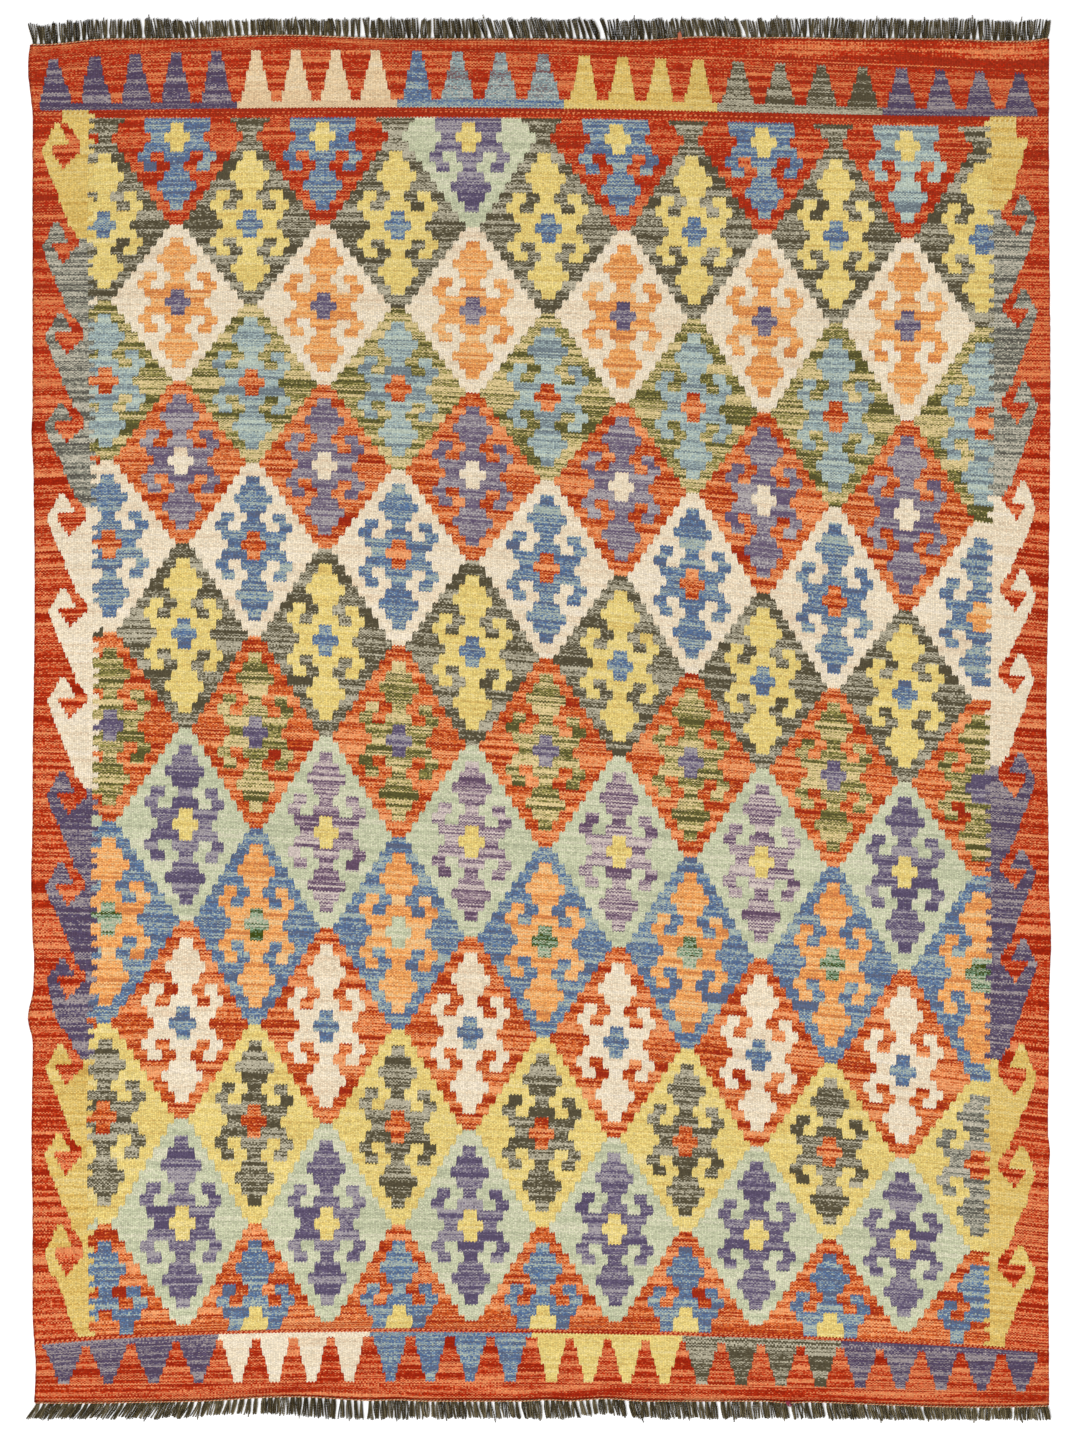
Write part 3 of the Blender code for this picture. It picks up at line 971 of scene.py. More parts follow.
# ------------------------------------------------------------------ material wiring
class Wiring:
    """Short ways to add and join shader nodes of one material."""

    def __init__(self, name):
        self.material = bpy.data.materials.new(name)
        self.material.use_nodes = True
        self.tree = self.material.node_tree
        self.shader = self.tree.nodes["Principled BSDF"]

    def put(self, socket, value):
        """Join an output to a socket, or set the socket to a plain value."""
        if isinstance(value, bpy.types.NodeSocket):
            self.tree.links.new(value, socket)
        elif value is not None:
            socket.default_value = value

    def node(self, kind, **settings):
        """Add a node and set its plain settings."""
        node = self.tree.nodes.new(kind)
        for key, value in settings.items():
            setattr(node, key, value)
        return node

    def read(self, name, output="Fac"):
        """Read a number or a triple that the mesh stores."""
        return self.node("ShaderNodeAttribute", attribute_name=name).outputs[output]

    def split(self, vector):
        node = self.node("ShaderNodeSeparateXYZ")
        self.put(node.inputs[0], vector)
        return node.outputs[:]

    def join(self, x, y, z=0.0):
        node = self.node("ShaderNodeCombineXYZ")
        for socket, value in zip(node.inputs, (x, y, z)):
            self.put(socket, value)
        return node.outputs[0]

    def math(self, operation, a, b=None, c=None, clamp=False):
        node = self.node("ShaderNodeMath", operation=operation, use_clamp=clamp)
        for socket, value in zip(node.inputs, (a, b, c)):
            self.put(socket, value)
        return node.outputs[0]

    def spread(self, value, low, high, to_low=0.0, to_high=1.0):
        """Carry low..high smoothly over to to_low..to_high."""
        node = self.node("ShaderNodeMapRange", interpolation_type="SMOOTHSTEP")
        for socket, given in zip(node.inputs, (value, low, high, to_low, to_high)):
            self.put(socket, given)
        return node.outputs[0]

    def mix(self, share, a, b, blend="MIX"):
        """Go from colour a to colour b by a share from 0 to 1."""
        node = self.node("ShaderNodeMix", data_type="RGBA", blend_type=blend)
        self.put(node.inputs["Factor"], share)
        self.put(node.inputs["A"], a)
        self.put(node.inputs["B"], b)
        return node.outputs["Result"]

    def noise(self, at, scale, detail=2.0, roughness=0.5):
        """One-dimensional noise along `at`."""
        node = self.node("ShaderNodeTexNoise", noise_dimensions="1D")
        self.put(node.inputs["W"], at)
        node.inputs["Scale"].default_value = scale
        node.inputs["Detail"].default_value = detail
        node.inputs["Roughness"].default_value = roughness
        return node.outputs["Fac"]

    def cloud(self, at, scale, detail=2.0):
        """Three-dimensional noise at a place."""
        node = self.node("ShaderNodeTexNoise", noise_dimensions="3D")
        self.put(node.inputs["Vector"], at)
        node.inputs["Scale"].default_value = scale
        node.inputs["Detail"].default_value = detail
        return node.outputs["Fac"]

    def scatter(self, at):
        """A random number for every whole-number place."""
        node = self.node("ShaderNodeTexWhiteNoise", noise_dimensions="3D")
        self.put(node.inputs["Vector"], at)
        return node.outputs["Value"]

    def palette(self, number, colours):
        """Pick a colour by its number."""
        node = self.node("ShaderNodeValToRGB")
        ramp = node.color_ramp
        ramp.interpolation = "CONSTANT"
        while len(ramp.elements) < len(colours):
            ramp.elements.new(1.0)
        for n, colour in enumerate(colours):
            ramp.elements[n].position = n / len(colours)
            ramp.elements[n].color = (*colour, 1.0)
        share = self.math("DIVIDE", self.math("ADD", number, 0.5), float(len(colours)))
        self.put(node.inputs[0], share)
        return node.outputs["Color"]

    def three_tones(self, tone, deep, mid, pale):
        """A wool's colour between its dark, middle and pale tones, for a tone from 0 to 1."""
        doubled = self.math("MULTIPLY", tone, 2.0)
        darker = self.mix(self.math("MULTIPLY", tone, 2.0, clamp=True), deep, mid)
        return self.mix(self.math("SUBTRACT", doubled, 1.0, clamp=True), darker, pale)

    def finish(self, colour, height, strength, depth, roughness, shine):
        """Join colour, relief and roughness to the material's shader."""
        bump = self.node("ShaderNodeBump")
        bump.inputs["Strength"].default_value = strength
        bump.inputs["Distance"].default_value = depth
        self.put(bump.inputs["Height"], height)
        self.put(self.shader.inputs["Normal"], bump.outputs[0])
        self.put(self.shader.inputs["Base Color"], colour)
        self.put(self.shader.inputs["Roughness"], roughness)
        self.shader.inputs["Specular IOR Level"].default_value = shine


# Lengths of streaks and dye batches are in the unit that their name ends with.
STREAK_COLUMNS = 60.0
STREAK_ROUGHNESS = 0.6
STREAK_PICKS = 4.5
LONG_STREAKS = 2.8
SHORT_STREAKS = 2.5
SLOW_PICKS = 110.0
SLOW_LOTS = 1.7
SLOW_DRIFT = 2.4
BATCH_COLUMNS = 16.0
BATCH_ROWS = 0.8
BATCH_DRIFT = 3.4
FAR_DEEPER = 0.85
NEAR_DEEPER = 0.22
WIDE_FROM = 8.0
WIDE_TO = 60.0
MOTTLE = 1.8
TUFT_BEADS = 2.0
SERRATION_BEADS = 1.5
TWINED_ROWS = (-0.62, 120.2)
TWINING_HALF = 0.16
TWINING_TONE = 1.1
DASHES_PER_COLUMN = 1.3
MELANGE = 0.22
BEAD_SHADE = 0.62
SLIT_WIDTH = 0.06
SLIT_SHADE = 0.60
YARN_LOTS = 371.0
BEAD_SQUARENESS = 2.5
BEAD_END_DROP = 0.7
SELVEDGE_COLUMNS = 0.2
WEAR_SCALE = 3.0
WEAR_LEAST = 0.92
WEAR_RANGE = 0.16
FUZZ_SCALE = 1400.0
FUZZ_RELIEF = 0.25
WEAVE_BUMP = 0.8
WEAVE_ROUGHNESS = 0.88
WEAVE_ROUGHNESS_RANGE = 0.08
WEAVE_SHINE = 0.04


def woven_wool(sizes, colours):
    """Weft-faced wool: beads over warps, in yarns whose tone drifts along each thread."""
    wiring = Wiring("woven_wool")
    m = wiring.math
    column, row, _ = wiring.split(wiring.read("weave", "Vector"))
    start, width, _ = wiring.split(wiring.read("thread", "Vector"))

    # Each warp shows every second pick, and its neighbour shows the ones between.
    beads = sizes.picks_per_half_row / 2
    warp = m("MULTIPLY", m("ADD", column, float(HALF_COLUMNS)), float(sizes.warps_per_step))
    warp_number = m("FLOOR", warp)
    side = m("MODULO", warp_number, 2.0)
    height = m("MULTIPLY", m("SUBTRACT", row, FAR_ROW), 2.0)
    bead = m("MULTIPLY_ADD", height, beads, m("MULTIPLY", side, 0.5))
    bead_number = m("FLOOR", bead)
    pick = m("MULTIPLY_ADD", bead_number, 2.0, side)

    # Just before a new half row every second warp already shows the next yarn.
    into = m("SUBTRACT", height, wiring.read("half_row"))
    turned = m("MULTIPLY", side, m("GREATER_THAN", into, 1.0 - SERRATION_BEADS / beads))
    yarn = m("ADD", wiring.read("yarn"), m("MULTIPLY", turned, wiring.read("yarn_step")))
    thread = wiring.mix(turned, wiring.read("thread", "Color"), wiring.read("thread_below", "Color"))
    thread_start, thread_width, origin = wiring.split(thread)

    # Two lines of twining run across the rug, just inside the base lines of the teeth.
    twined = m("ADD", *(
        wiring.spread(m("ABSOLUTE", m("SUBTRACT", row, at)), TWINING_HALF, 0.0)
        for at in TWINED_ROWS
    ))
    dash = m("GREATER_THAN", m("FRACT", m("MULTIPLY_ADD", column, DASHES_PER_COLUMN, row)), 0.5)
    twined_tone = m("MULTIPLY", twined, m("MULTIPLY_ADD", dash, 2 * TWINING_TONE, -TWINING_TONE))

    # How far along its thread this bead stands, in columns of the chart.
    inwards = m("SUBTRACT", column, thread_start)
    backwards = m("SUBTRACT", thread_width, inwards)
    forth = m("MULTIPLY", inwards, m("SUBTRACT", 1.0, side))
    back = m("MULTIPLY", backwards, side)
    travelled = m("MULTIPLY_ADD", pick, thread_width, m("ADD", origin, m("ADD", forth, back)))
    lot = m("MULTIPLY", yarn, YARN_LOTS)
    long_at = m("ADD", travelled, lot)
    long_streak = wiring.noise(
        long_at, 1.0 / STREAK_COLUMNS, detail=3.0, roughness=STREAK_ROUGHNESS)
    short_at = m("DIVIDE", travelled, m("MULTIPLY", thread_width, STREAK_PICKS))
    short_streak = wiring.noise(m("ADD", short_at, lot), 1.0, detail=1.0)
    slow_at = m("DIVIDE", travelled, m("MULTIPLY", thread_width, SLOW_PICKS))
    slow_drift = wiring.noise(m("ADD", slow_at, m("MULTIPLY", lot, SLOW_LOTS)), 1.0, detail=2.0)
    fleck = wiring.scatter(wiring.join(warp_number, bead_number, yarn))
    habits = [(habit.streaks / 2, habit.mottle / 2, 0.0) for habit in YARNS.values()]
    streaks, mottle, _ = wiring.split(wiring.palette(yarn, habits))
    drift = m("MULTIPLY", m("SUBTRACT", long_streak, 0.5), 2 * LONG_STREAKS)
    drift = m("MULTIPLY_ADD", m("SUBTRACT", short_streak, 0.5), 2 * SHORT_STREAKS, drift)
    drift = m("MULTIPLY_ADD", m("SUBTRACT", slow_drift, 0.5), 2 * SLOW_DRIFT, drift)
    batch_column = m("MULTIPLY", column, 1 / BATCH_COLUMNS)
    batch_row = m("MULTIPLY", row, 1 / BATCH_ROWS)
    batch_cloud = wiring.cloud(wiring.join(batch_column, batch_row, lot), 1.0, detail=3.0)
    batch = m("MULTIPLY", m("SUBTRACT", batch_cloud, 0.5), 2 * BATCH_DRIFT)
    wide = wiring.spread(thread_width, WIDE_FROM, WIDE_TO)
    deeper = wiring.spread(row, FIELD_FAR, FIELD_NEAR, FAR_DEEPER, NEAR_DEEPER)
    drift = m("MULTIPLY_ADD", m("SUBTRACT", batch, deeper), wide, drift)
    tuft = wiring.scatter(wiring.join(warp_number, m("FLOOR", m("DIVIDE", bead, TUFT_BEADS)), yarn))
    speck = m("MULTIPLY", m("SUBTRACT", m("ADD", tuft, fleck), 1.0), MOTTLE)
    tone = m("MULTIPLY_ADD", drift, streaks, 0.5)
    tone = m("MULTIPLY_ADD", speck, mottle, m("ADD", tone, twined_tone), clamp=True)

    wool = wiring.three_tones(tone, *(
        wiring.palette(yarn, [getattr(colours, f"{name}_{shade}") for name in YARNS])
        for shade in TONES
    ))

    # Beads are round across their warp and along it, and their colour takes painted shade, darkest
    # where they meet.
    across = m("SUBTRACT", m("MULTIPLY", m("FRACT", warp), 2.0), 1.0)
    along = m("SUBTRACT", m("MULTIPLY", m("FRACT", bead), 2.0), 1.0)
    arch = m("SUBTRACT", 1.0, m("POWER", m("ABSOLUTE", across), BEAD_SQUARENESS))
    ends = m("SUBTRACT", 1.0, m("MULTIPLY", m("MULTIPLY", along, along), BEAD_END_DROP))
    crown = m("MULTIPLY", arch, ends)
    second_fleck = wiring.scatter(wiring.join(bead_number, warp_number, 0.5))
    melange = m("MULTIPLY_ADD", m("SUBTRACT", second_fleck, 0.5), 2 * MELANGE, 1.0)
    shade = m("MULTIPLY_ADD", crown, 1.0 - BEAD_SHADE, BEAD_SHADE)

    # A slit stands open between two yarns that turn back on neighbouring warps; painted shade
    # darkens the wool along it, but not along the selvedges.
    to_left = m("SUBTRACT", column, start)
    to_right = m("SUBTRACT", width, to_left)
    to_edge = m("SUBTRACT", HALF_COLUMNS - SELVEDGE_COLUMNS, m("ABSOLUTE", column))
    selvedge = m("LESS_THAN", to_edge, 0.0)
    to_slit = m("ADD", m("MINIMUM", to_left, to_right), selvedge)
    closed = wiring.spread(to_slit, 0.0, SLIT_WIDTH, SLIT_SHADE, 1.0)
    place = wiring.node("ShaderNodeNewGeometry").outputs["Position"]
    wear = m("MULTIPLY_ADD", wiring.cloud(place, WEAR_SCALE), WEAR_RANGE, WEAR_LEAST)
    # The wool's colour is multiplied by painted shade between beads and along slits, and by its own
    # melange and wear.
    light = m("MULTIPLY", m("MULTIPLY", m("MULTIPLY", shade, melange), closed), wear)
    grey = wiring.join(light, light, light)
    colour = wiring.mix(1.0, wool, grey, blend="MULTIPLY")

    fuzz = wiring.cloud(place, FUZZ_SCALE, detail=1.0)
    relief = m("ADD", m("MULTIPLY", crown, closed), m("MULTIPLY", fuzz, FUZZ_RELIEF))
    rough = m("MULTIPLY_ADD", fleck, WEAVE_ROUGHNESS_RANGE, WEAVE_ROUGHNESS)
    wiring.finish(colour, relief, WEAVE_BUMP, sizes.rib_depth, rough, WEAVE_SHINE)
    return wiring.material


STRAND_TONE = 0.45
BLOTCH_SCALE = 140.0
BLOTCH_TONE = 0.6
DARKEST_AT = 0.20
PALEST_AT = 0.95
FIBRE_SCALE = 2200.0
FIBRE_BUMP = 0.6
FIBRE_DEPTH = 0.0002
SPUN_ROUGHNESS = 0.82
SPUN_ROUGHNESS_RANGE = 0.12
SPUN_SHINE = 0.05


def twisted_wool(name, colours, *tones):
    """Spun wool of one twisted end, in three tones of the colour settings."""
    wiring = Wiring(name)
    m = wiring.math
    place = wiring.node("ShaderNodeNewGeometry").outputs["Position"]
    blotch = m("MULTIPLY", wiring.cloud(place, BLOTCH_SCALE, detail=3.0), BLOTCH_TONE)
    tone = m("MULTIPLY_ADD", wiring.read("strand"), STRAND_TONE, blotch)
    tone = wiring.spread(tone, DARKEST_AT, PALEST_AT)
    wool = wiring.three_tones(tone, *((*getattr(colours, shade), 1.0) for shade in tones))
    fibre = wiring.cloud(place, FIBRE_SCALE, detail=2.0)
    rough = m("MULTIPLY_ADD", fibre, SPUN_ROUGHNESS_RANGE, SPUN_ROUGHNESS)
    wiring.finish(wool, fibre, FIBRE_BUMP, FIBRE_DEPTH, rough, SPUN_SHINE)
    return wiring.material


# ------------------------------------------------------------------ fringes
PLY_SIDES = 4
PLY_RADIUS = 0.66
PLY_OFFSET = 0.32
STRAND_SECTIONS = 9
STRAND_LENGTH_VARIATION = 0.06
STRAND_SCATTER = 0.14
STRAND_WANDER = 0.0009
WANDER_START = 3
WANDER_TURN = 4.3
TIP_SCATTER = 0.80
STRAY_EVERY = 41
STRAY_LENGTH = 0.17
ROOT_HEIGHT = 0.0013
ROOT_RISE = 0.0006
LAYER_RISE = 1.7
ROOT_OVERLAP = 0.0012
SETTLED_AT = 0.30
FRAYED_FROM = 0.90
FRAYED_SPREAD = 0.25
TIP_THINNING = 0.12
CORD_SECTION = 0.0011
CORD_OFFSET = 0.0006
CORD_HEIGHT = 0.0030


def lock_limits(start, width, section, end):
    """Left and right limits of every lock at one of its sections."""
    pitch = width / LOCKS_PER_END
    index = np.arange(LOCKS_PER_END + 1)
    root = start + index * pitch
    places, shifts = zip(*end.leans)
    shift = np.interp(root, places, shifts)
    borders = root + (shift + LEAN_VARIATION * jitter(index, 1)) * section.lean
    borders[1:-1] += ROOT_VARIATION * jitter(index, 6)[1:-1]
    opened = LOCK_GAP * np.clip(jitter(index, 5), 0, 1) * section.lean
    for parting in end.partings:
        opened[round((parting.at - start) / pitch)] = parting.width * section.parted
    fill = section.fill * (1 + FILL_VARIATION * jitter(index[:-1], 7) * (1 - section.lean))
    spare = np.diff(borders) * (1 - fill) / 2
    return borders[:-1] + spare + opened[:-1] / 2, borders[1:] - spare - opened[1:] / 2


def twisted_plies(centre, radius, pitch, travel, opening=1.0, thinning=1.0):
    """Points of two plies that wind round each centre line.

    `centre` is (strands, sections, 3) and `travel` the distance along each strand;
    `opening` and `thinning` shape the frayed tip.
    """
    strands, sections, _ = centre.shape
    run = np.gradient(centre, axis=1)
    heading = run[..., :2] / np.linalg.norm(run[..., :2], axis=-1, keepdims=True)
    level = np.zeros((strands, sections))
    sideways = np.stack((heading[..., 1], -heading[..., 0], level), -1)
    up = np.array((0.0, 0.0, 1.0))
    points = np.empty((strands, sections, 2, PLY_SIDES, 3))
    phase = pi * jitter(np.arange(strands), 8)[:, None]
    turn = 2 * pi * travel / pitch + phase
    thick = PLY_RADIUS * radius * thinning
    for ply in range(2):
        angle = turn + ply * pi
        out = PLY_OFFSET * radius * opening
        middle = (
            centre
            + sideways * (np.cos(angle) * out)[..., None]
            + up * (np.sin(angle) * out)[..., None]
        )
        for n in range(PLY_SIDES):
            spin = angle + 2 * pi * n / PLY_SIDES
            points[:, :, ply, n] = (
                middle
                + sideways * (np.cos(spin) * thick)[..., None]
                + up * (np.sin(spin) * thick)[..., None]
            )
    return points


def ply_faces(strands, sections):
    """Faces of the tubes and end caps that twisted_plies lays out."""
    faces = []
    for strand in range(strands):
        for ply in range(2):
            first = (strand * sections * 2 + ply) * PLY_SIDES
            step = 2 * PLY_SIDES
            for section in range(sections - 1):
                a = first + section * step
                for n in range(PLY_SIDES):
                    following = (n + 1) % PLY_SIDES
                    faces.append([a + n, a + following, a + step + following, a + step + n])
            last = first + (sections - 1) * step
            faces.append([first + n for n in reversed(range(PLY_SIDES))])
            faces.append([last + n for n in range(PLY_SIDES)])
    return faces


def joined(parts):
    """One mesh from several parts' points and faces, with the part number of every face."""
    points, faces, numbers = np.zeros((0, 3)), [], []
    for number, (part_points, part_faces) in enumerate(parts):
        first = len(points)
        faces += [[first + corner for corner in face] for face in part_faces]
        numbers += [number] * len(part_faces)
        points = np.concatenate((points, part_points.reshape(-1, 3)))
    return points, faces, numbers


def warp_ends(end, line_x, line_y, start, width, sizes):
    """Points and faces of one end's twisted warp ends, and a tone for each of them."""
    side = end.side
    limits = [lock_limits(start, width, section, end) for section in (ROOT, WAIST, TIP)]
    lock = np.repeat(np.arange(LOCKS_PER_END), STRANDS_PER_LOCK)
    strand = np.tile(np.arange(STRANDS_PER_LOCK), LOCKS_PER_END)
    number = np.arange(len(lock))
    share = (strand + 0.5 + STRAND_SCATTER * jitter(number, 11)) / STRANDS_PER_LOCK
    spacing = np.diff(limits[2], axis=0)[0][lock] / STRANDS_PER_LOCK
    root_x, waist_x, tip_x = (left[lock] + (right - left)[lock] * share for left, right in limits)
    tip_x = tip_x + TIP_SCATTER * spacing * jitter(number, 15)
    middle = (limits[2][0] + limits[2][1])[lock] / 2
    root_y = np.interp(root_x, line_x, line_y)
    reach = side * (end.tip_line + push(end.tip_waves, middle)) - root_y
    trim = TIP.along + LOCK_LENGTH_VARIATION * jitter(middle, 2)
    trim = trim + STRAND_LENGTH_VARIATION * jitter(number, 13)
    trim = trim + STRAY_LENGTH * (number % STRAY_EVERY == STRAY_EVERY // 2)

    along = np.linspace(0.0, 1.0, STRAND_SECTIONS + 1)[None, :] * trim[:, None]
    inner = np.clip(along / WAIST.along, 0, 1)
    outer = np.clip((along - WAIST.along) / (TIP.along - WAIST.along), 0, 2)
    x = root_x[:, None] + (waist_x - root_x)[:, None] * inner + (tip_x - waist_x)[:, None] * outer
    phase = WANDER_START * jitter(number, 17)[:, None]
    wander = np.sin(WANDER_TURN * along + phase) * along
    x = x + STRAND_WANDER * wander * jitter(number, 19)[:, None]
    y = root_y[:, None] - side * ROOT_OVERLAP + (reach[:, None] + side * ROOT_OVERLAP) * along
    settled = 0.5 - 0.5 * np.cos(pi * np.clip(along / SETTLED_AT, 0, 1))
    layer = (strand % 2)[:, None]
    rest = sizes.strand_radius * (1 + LAYER_RISE * layer)
    stacked = ROOT_HEIGHT + ROOT_RISE * layer
    z = stacked + (rest - stacked) * settled
    centre = np.stack((x, y, z), -1)
    step = np.linalg.norm(np.diff(centre, axis=1), axis=-1)
    travel = np.concatenate((np.zeros((len(lock), 1)), np.cumsum(step, 1)), 1)
    frayed = np.clip((along / trim[:, None] - FRAYED_FROM) / (1 - FRAYED_FROM), 0, 1)
    opening = 1 + FRAYED_SPREAD * frayed * np.abs(jitter(number, 23))[:, None]
    thinning = 1 - TIP_THINNING * frayed
    plies = twisted_plies(
        centre, sizes.strand_radius, sizes.strand_pitch, travel, opening, thinning)
    plies[..., 2] = np.maximum(plies[..., 2], 0.0)
    return plies, ply_faces(len(lock), STRAND_SECTIONS + 1), 0.5 + 0.5 * jitter(number, 29)


def twining(side, line_x, line_y, start, width, sizes):
    """Points and faces of the two-ply cord that holds the last weft of one end."""
    x = np.arange(start, start + width, CORD_SECTION)
    y = np.interp(x, line_x, line_y) + side * CORD_OFFSET
    centre = np.stack((x, y, np.full_like(x, CORD_HEIGHT)), -1)[None]
    plies = twisted_plies(centre, sizes.cord_radius, sizes.cord_pitch, (x - start)[None])
    return plies, ply_faces(1, len(x))


def build_fringe(end, sizes, materials):
    """One row of twisted warp ends, with the twined cord that holds the last weft."""
    line_x, line_y = end_line(end.side, sizes.cloth_width)
    start = line_x[0] + STRIP_CORNER_INSET
    width = line_x[-1] - STRIP_CORNER_INSET - start
    *warps, tones = warp_ends(end, line_x, line_y, start, width, sizes)
    cord = twining(end.side, line_x, line_y, start, width, sizes)
    points, faces, kinds = joined([warps, cord])
    piece = mesh_object(end.node + "_strands", points, faces, materials)
    piece.data.polygons.foreach_set("material_index", kinds)
    warp_tones = np.repeat(tones, len(warps[1]) // len(tones))
    cord_tones = np.repeat((0.0, 1.0), len(cord[1]) // 2)
    add_numbers(piece.data, "strand", "FACE", np.concatenate((warp_tones, cord_tones)))
    return piece


LOOSE_STRANDS = 5
LOOSE_SPACING = 0.0013
LOOSE_RADIUS = 0.0009
LOOSE_HEIGHT = 0.0046
LOOSE_SECTIONS = 7
LOOSE_START = 0.0020
LOOSE_LENGTH_VARIATION = 0.2
LOOSE_GATHER = 0.3
LOOSE_WAVE = 0.0004
LOOSE_WAVE_TURN = 3
LOOSE_TONE_VARIATION = 0.4


def loose_end(number, end, sizes):
    """Points and faces of one tuft, whose strands draw together towards their tips."""
    line_x, line_y = end_line(end.side, sizes.cloth_width)
    strand = np.arange(LOOSE_STRANDS)[:, None]
    along = np.linspace(0.0, 1.0, LOOSE_SECTIONS)[None, :]
    length_share = 1 + LOOSE_LENGTH_VARIATION * jitter(strand, 41 + number)
    spread = (strand - (LOOSE_STRANDS - 1) / 2) * LOOSE_SPACING
    x = end.at + spread * (1 - LOOSE_GATHER * along) + end.lean * along ** 2
    out = end.reach * length_share * along - LOOSE_START
    y = np.interp(x, line_x, line_y) + end.side * out
    z = LOOSE_HEIGHT + LOOSE_WAVE * np.sin(LOOSE_WAVE_TURN * along + strand)
    travel = end.reach * np.broadcast_to(along, x.shape)
    tuft = twisted_plies(np.stack((x, y, z), -1), LOOSE_RADIUS, sizes.cord_pitch, travel)
    return tuft, ply_faces(LOOSE_STRANDS, LOOSE_SECTIONS)


def build_loose_ends(sizes, materials):
    """Short tufts of weft yarn, each of a few twisted strands that lie over the fringe."""
    tufts = [loose_end(number, end, sizes) for number, end in enumerate(LOOSE_ENDS)]
    points, faces, kinds = joined(tufts)
    piece = mesh_object("loose_yarn_ends", points, faces, materials)
    piece.data.polygons.foreach_set("material_index", kinds)
    patch = np.arange(len(faces)) // (2 * PLY_SIDES)
    tones = 0.5 + LOOSE_TONE_VARIATION * jitter(patch, 43)
    add_numbers(piece.data, "strand", "FACE", tones)
    return piece


# ------------------------------------------------------------------ operators
class KILIM_OT_stage(bpy.types.Operator):
    """Set up the pale floor, the soft light and the camera above the rug"""

    bl_idname = "kilim.stage"
    bl_label = "Build studio"

    def execute(self, context):
        build_floor()
        build_light(context.scene)
        build_camera(context.scene)
        return {"FINISHED"}


class KILIM_OT_cloth(bpy.types.Operator):
    """Weave the cloth from its charts, on both faces"""

    bl_idname = "kilim.cloth"
    bl_label = "Weave cloth"

    def execute(self, context):
        sizes = context.scene.rug_sizes
        points, faces, weave = cloth_mesh(sizes)
        material = woven_wool(sizes, context.scene.yarn_colours)
        piece = mesh_object("woven_cloth", points, [face.corners for face in faces], [material])
        add_numbers(piece.data, "weave", "POINT", weave)
        add_numbers(piece.data, "half_row", "FACE", [face.half_row for face in faces])
        order = list(YARNS)
        yarns = np.array([order.index(face.run.yarn) for face in faces])
        yarns_below = np.array([order.index(face.below.yarn) for face in faces])
        add_numbers(piece.data, "yarn", "FACE", yarns)
        add_numbers(piece.data, "yarn_step", "FACE", yarns_below - yarns)
        for name, run_name in (("thread", "run"), ("thread_below", "below")):
            runs = [getattr(face, run_name) for face in faces]
            threads = [(run.start, run.end - run.start, run.origin) for run in runs]
            add_numbers(piece.data, name, "FACE", threads)
        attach(piece, BODY)
        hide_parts("cloth")
        return {"FINISHED"}


class KILIM_OT_fringes(bpy.types.Operator):
    """Lay out the twisted warp ends along both ends of the cloth"""

    bl_idname = "kilim.fringes"
    bl_label = "Lay out fringes"

    def execute(self, context):
        colours = context.scene.yarn_colours
        warp = twisted_wool("warp_wool", colours, "fringe_deep", "fringe_mid", "fringe_pale")
        cord = twisted_wool(
            "twining_wool", colours, "twining_deep", "twining_deep", "twining_pale")
        for end in ENDS:
            piece = build_fringe(end, context.scene.rug_sizes, [warp, cord])
            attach(piece, BODY)
            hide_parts(end.node)
        return {"FINISHED"}


class KILIM_OT_loose_ends(bpy.types.Operator):
    """Lay the loose ends of weft yarn over the fringes"""

    bl_idname = "kilim.loose_ends"
    bl_label = "Lay loose yarn ends"

    def execute(self, context):
        colours = context.scene.yarn_colours
        salmon = twisted_wool(
            "salmon_weft", colours, "rust_mid", "loose_salmon", "loose_salmon")
        wine = twisted_wool("wine_weft", colours, "plum_deep", "loose_wine", "loose_wine")
        piece = build_loose_ends(context.scene.rug_sizes, [salmon, wine])
        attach(piece, BODY)
        return {"FINISHED"}


# ------------------------------------------------------------------ studio
FLOOR_SIZE = 40.0
FLOOR_COLOUR = (0.88, 0.88, 0.88, 1.0)
FLOOR_ROUGHNESS = 0.9
FLOOR_SHINE = 0.1
WORLD_STRENGTH = 0.9
KEY_HEIGHT = 12.0
KEY_SIZE = 6.0
KEY_PLACE = (-4.0, -7.0)
KEY_POWER = 1500.0
CAMERA_HEIGHT = 12.0
SENSOR_HEIGHT = 24.0
FRAME_HEIGHT = 2.1250
CAMERA_X = -0.0011


def build_floor():
    """A pale floor far wider than the view."""
    half = FLOOR_SIZE / 2
    corners = np.array([(-half, -half, 0), (half, -half, 0), (half, half, 0), (-half, half, 0)])
    wiring = Wiring("studio_floor")
    wiring.shader.inputs["Base Color"].default_value = FLOOR_COLOUR
    wiring.shader.inputs["Roughness"].default_value = FLOOR_ROUGHNESS
    wiring.shader.inputs["Specular IOR Level"].default_value = FLOOR_SHINE
    piece = mesh_object("studio_floor", corners, [[0, 1, 2, 3]], [wiring.material], smooth=False)


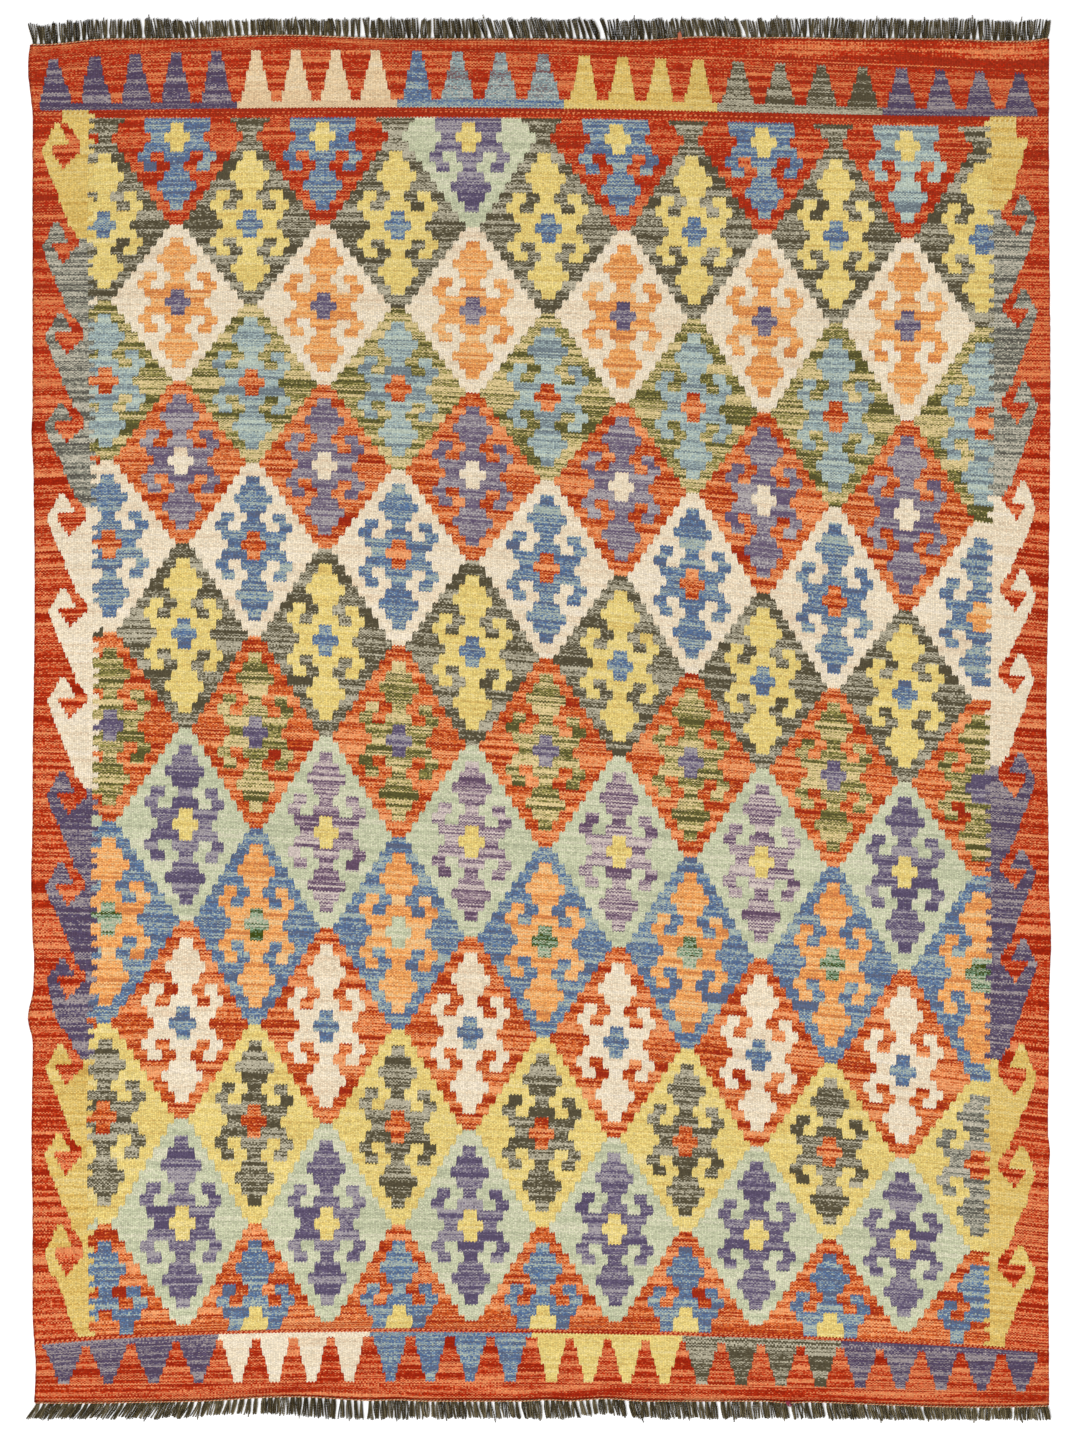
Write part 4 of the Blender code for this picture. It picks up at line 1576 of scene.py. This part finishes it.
def build_light(scene):
    """An even white surround and one large soft lamp from the near left."""
    world = bpy.data.worlds.new("studio")
    scene.world = world
    world.use_nodes = True
    surround = world.node_tree.nodes["Background"]
    surround.inputs["Color"].default_value = (1.0, 1.0, 1.0, 1.0)
    surround.inputs["Strength"].default_value = WORLD_STRENGTH
    lamp = bpy.data.lights.new("soft_key", "AREA")
    lamp.size = KEY_SIZE
    lamp.energy = KEY_POWER
    holder = bpy.data.objects.new("soft_key", lamp)
    holder.location = (*KEY_PLACE, KEY_HEIGHT)
    holder.rotation_euler = (-Vector(holder.location)).to_track_quat("-Z", "Y").to_euler()
    scene.collection.objects.link(holder)
    scene.view_settings.view_transform = "Standard"
    scene.view_settings.look = "None"


def build_camera(scene):
    """A long lens straight above the rug, far end up."""
    lens = bpy.data.cameras.new("camera")
    lens.sensor_fit = "VERTICAL"
    lens.sensor_height = SENSOR_HEIGHT
    lens.lens = SENSOR_HEIGHT * CAMERA_HEIGHT / FRAME_HEIGHT
    camera = bpy.data.objects.new("camera", lens)
    camera.location = (CAMERA_X, 0.0, CAMERA_HEIGHT)
    scene.collection.objects.link(camera)
    scene.camera = camera


class KILIM_PT_panel(bpy.types.Panel):
    """Lists the rug's pieces, sizes and yarns"""

    bl_idname = "KILIM_PT_panel"
    bl_label = "Flat-woven rug"
    bl_space_type = "VIEW_3D"
    bl_region_type = "UI"
    bl_category = "Rug"

    def draw(self, context):
        layout = self.layout
        for operator in (KILIM_OT_stage, KILIM_OT_cloth, KILIM_OT_fringes, KILIM_OT_loose_ends):
            layout.operator(operator.bl_idname)
        for settings in (context.scene.rug_sizes, context.scene.yarn_colours):
            box = layout.box()
            for name in settings.__annotations__:
                box.prop(settings, name)


CLASSES = (
    RugSizes,
    YarnColours,
    KILIM_OT_stage,
    KILIM_OT_cloth,
    KILIM_OT_fringes,
    KILIM_OT_loose_ends,
    KILIM_PT_panel,
)


def register():
    for item in CLASSES:
        bpy.utils.register_class(item)
    bpy.types.Scene.rug_sizes = PointerProperty(type=RugSizes)
    bpy.types.Scene.yarn_colours = PointerProperty(type=YarnColours)


def unregister():
    del bpy.types.Scene.yarn_colours
    del bpy.types.Scene.rug_sizes
    for item in reversed(CLASSES):
        bpy.utils.unregister_class(item)


def main():
    register()
    bpy.ops.kilim.stage()
    bpy.ops.kilim.cloth()
    bpy.ops.kilim.fringes()
    bpy.ops.kilim.loose_ends()


if __name__ == "__main__":
    main()
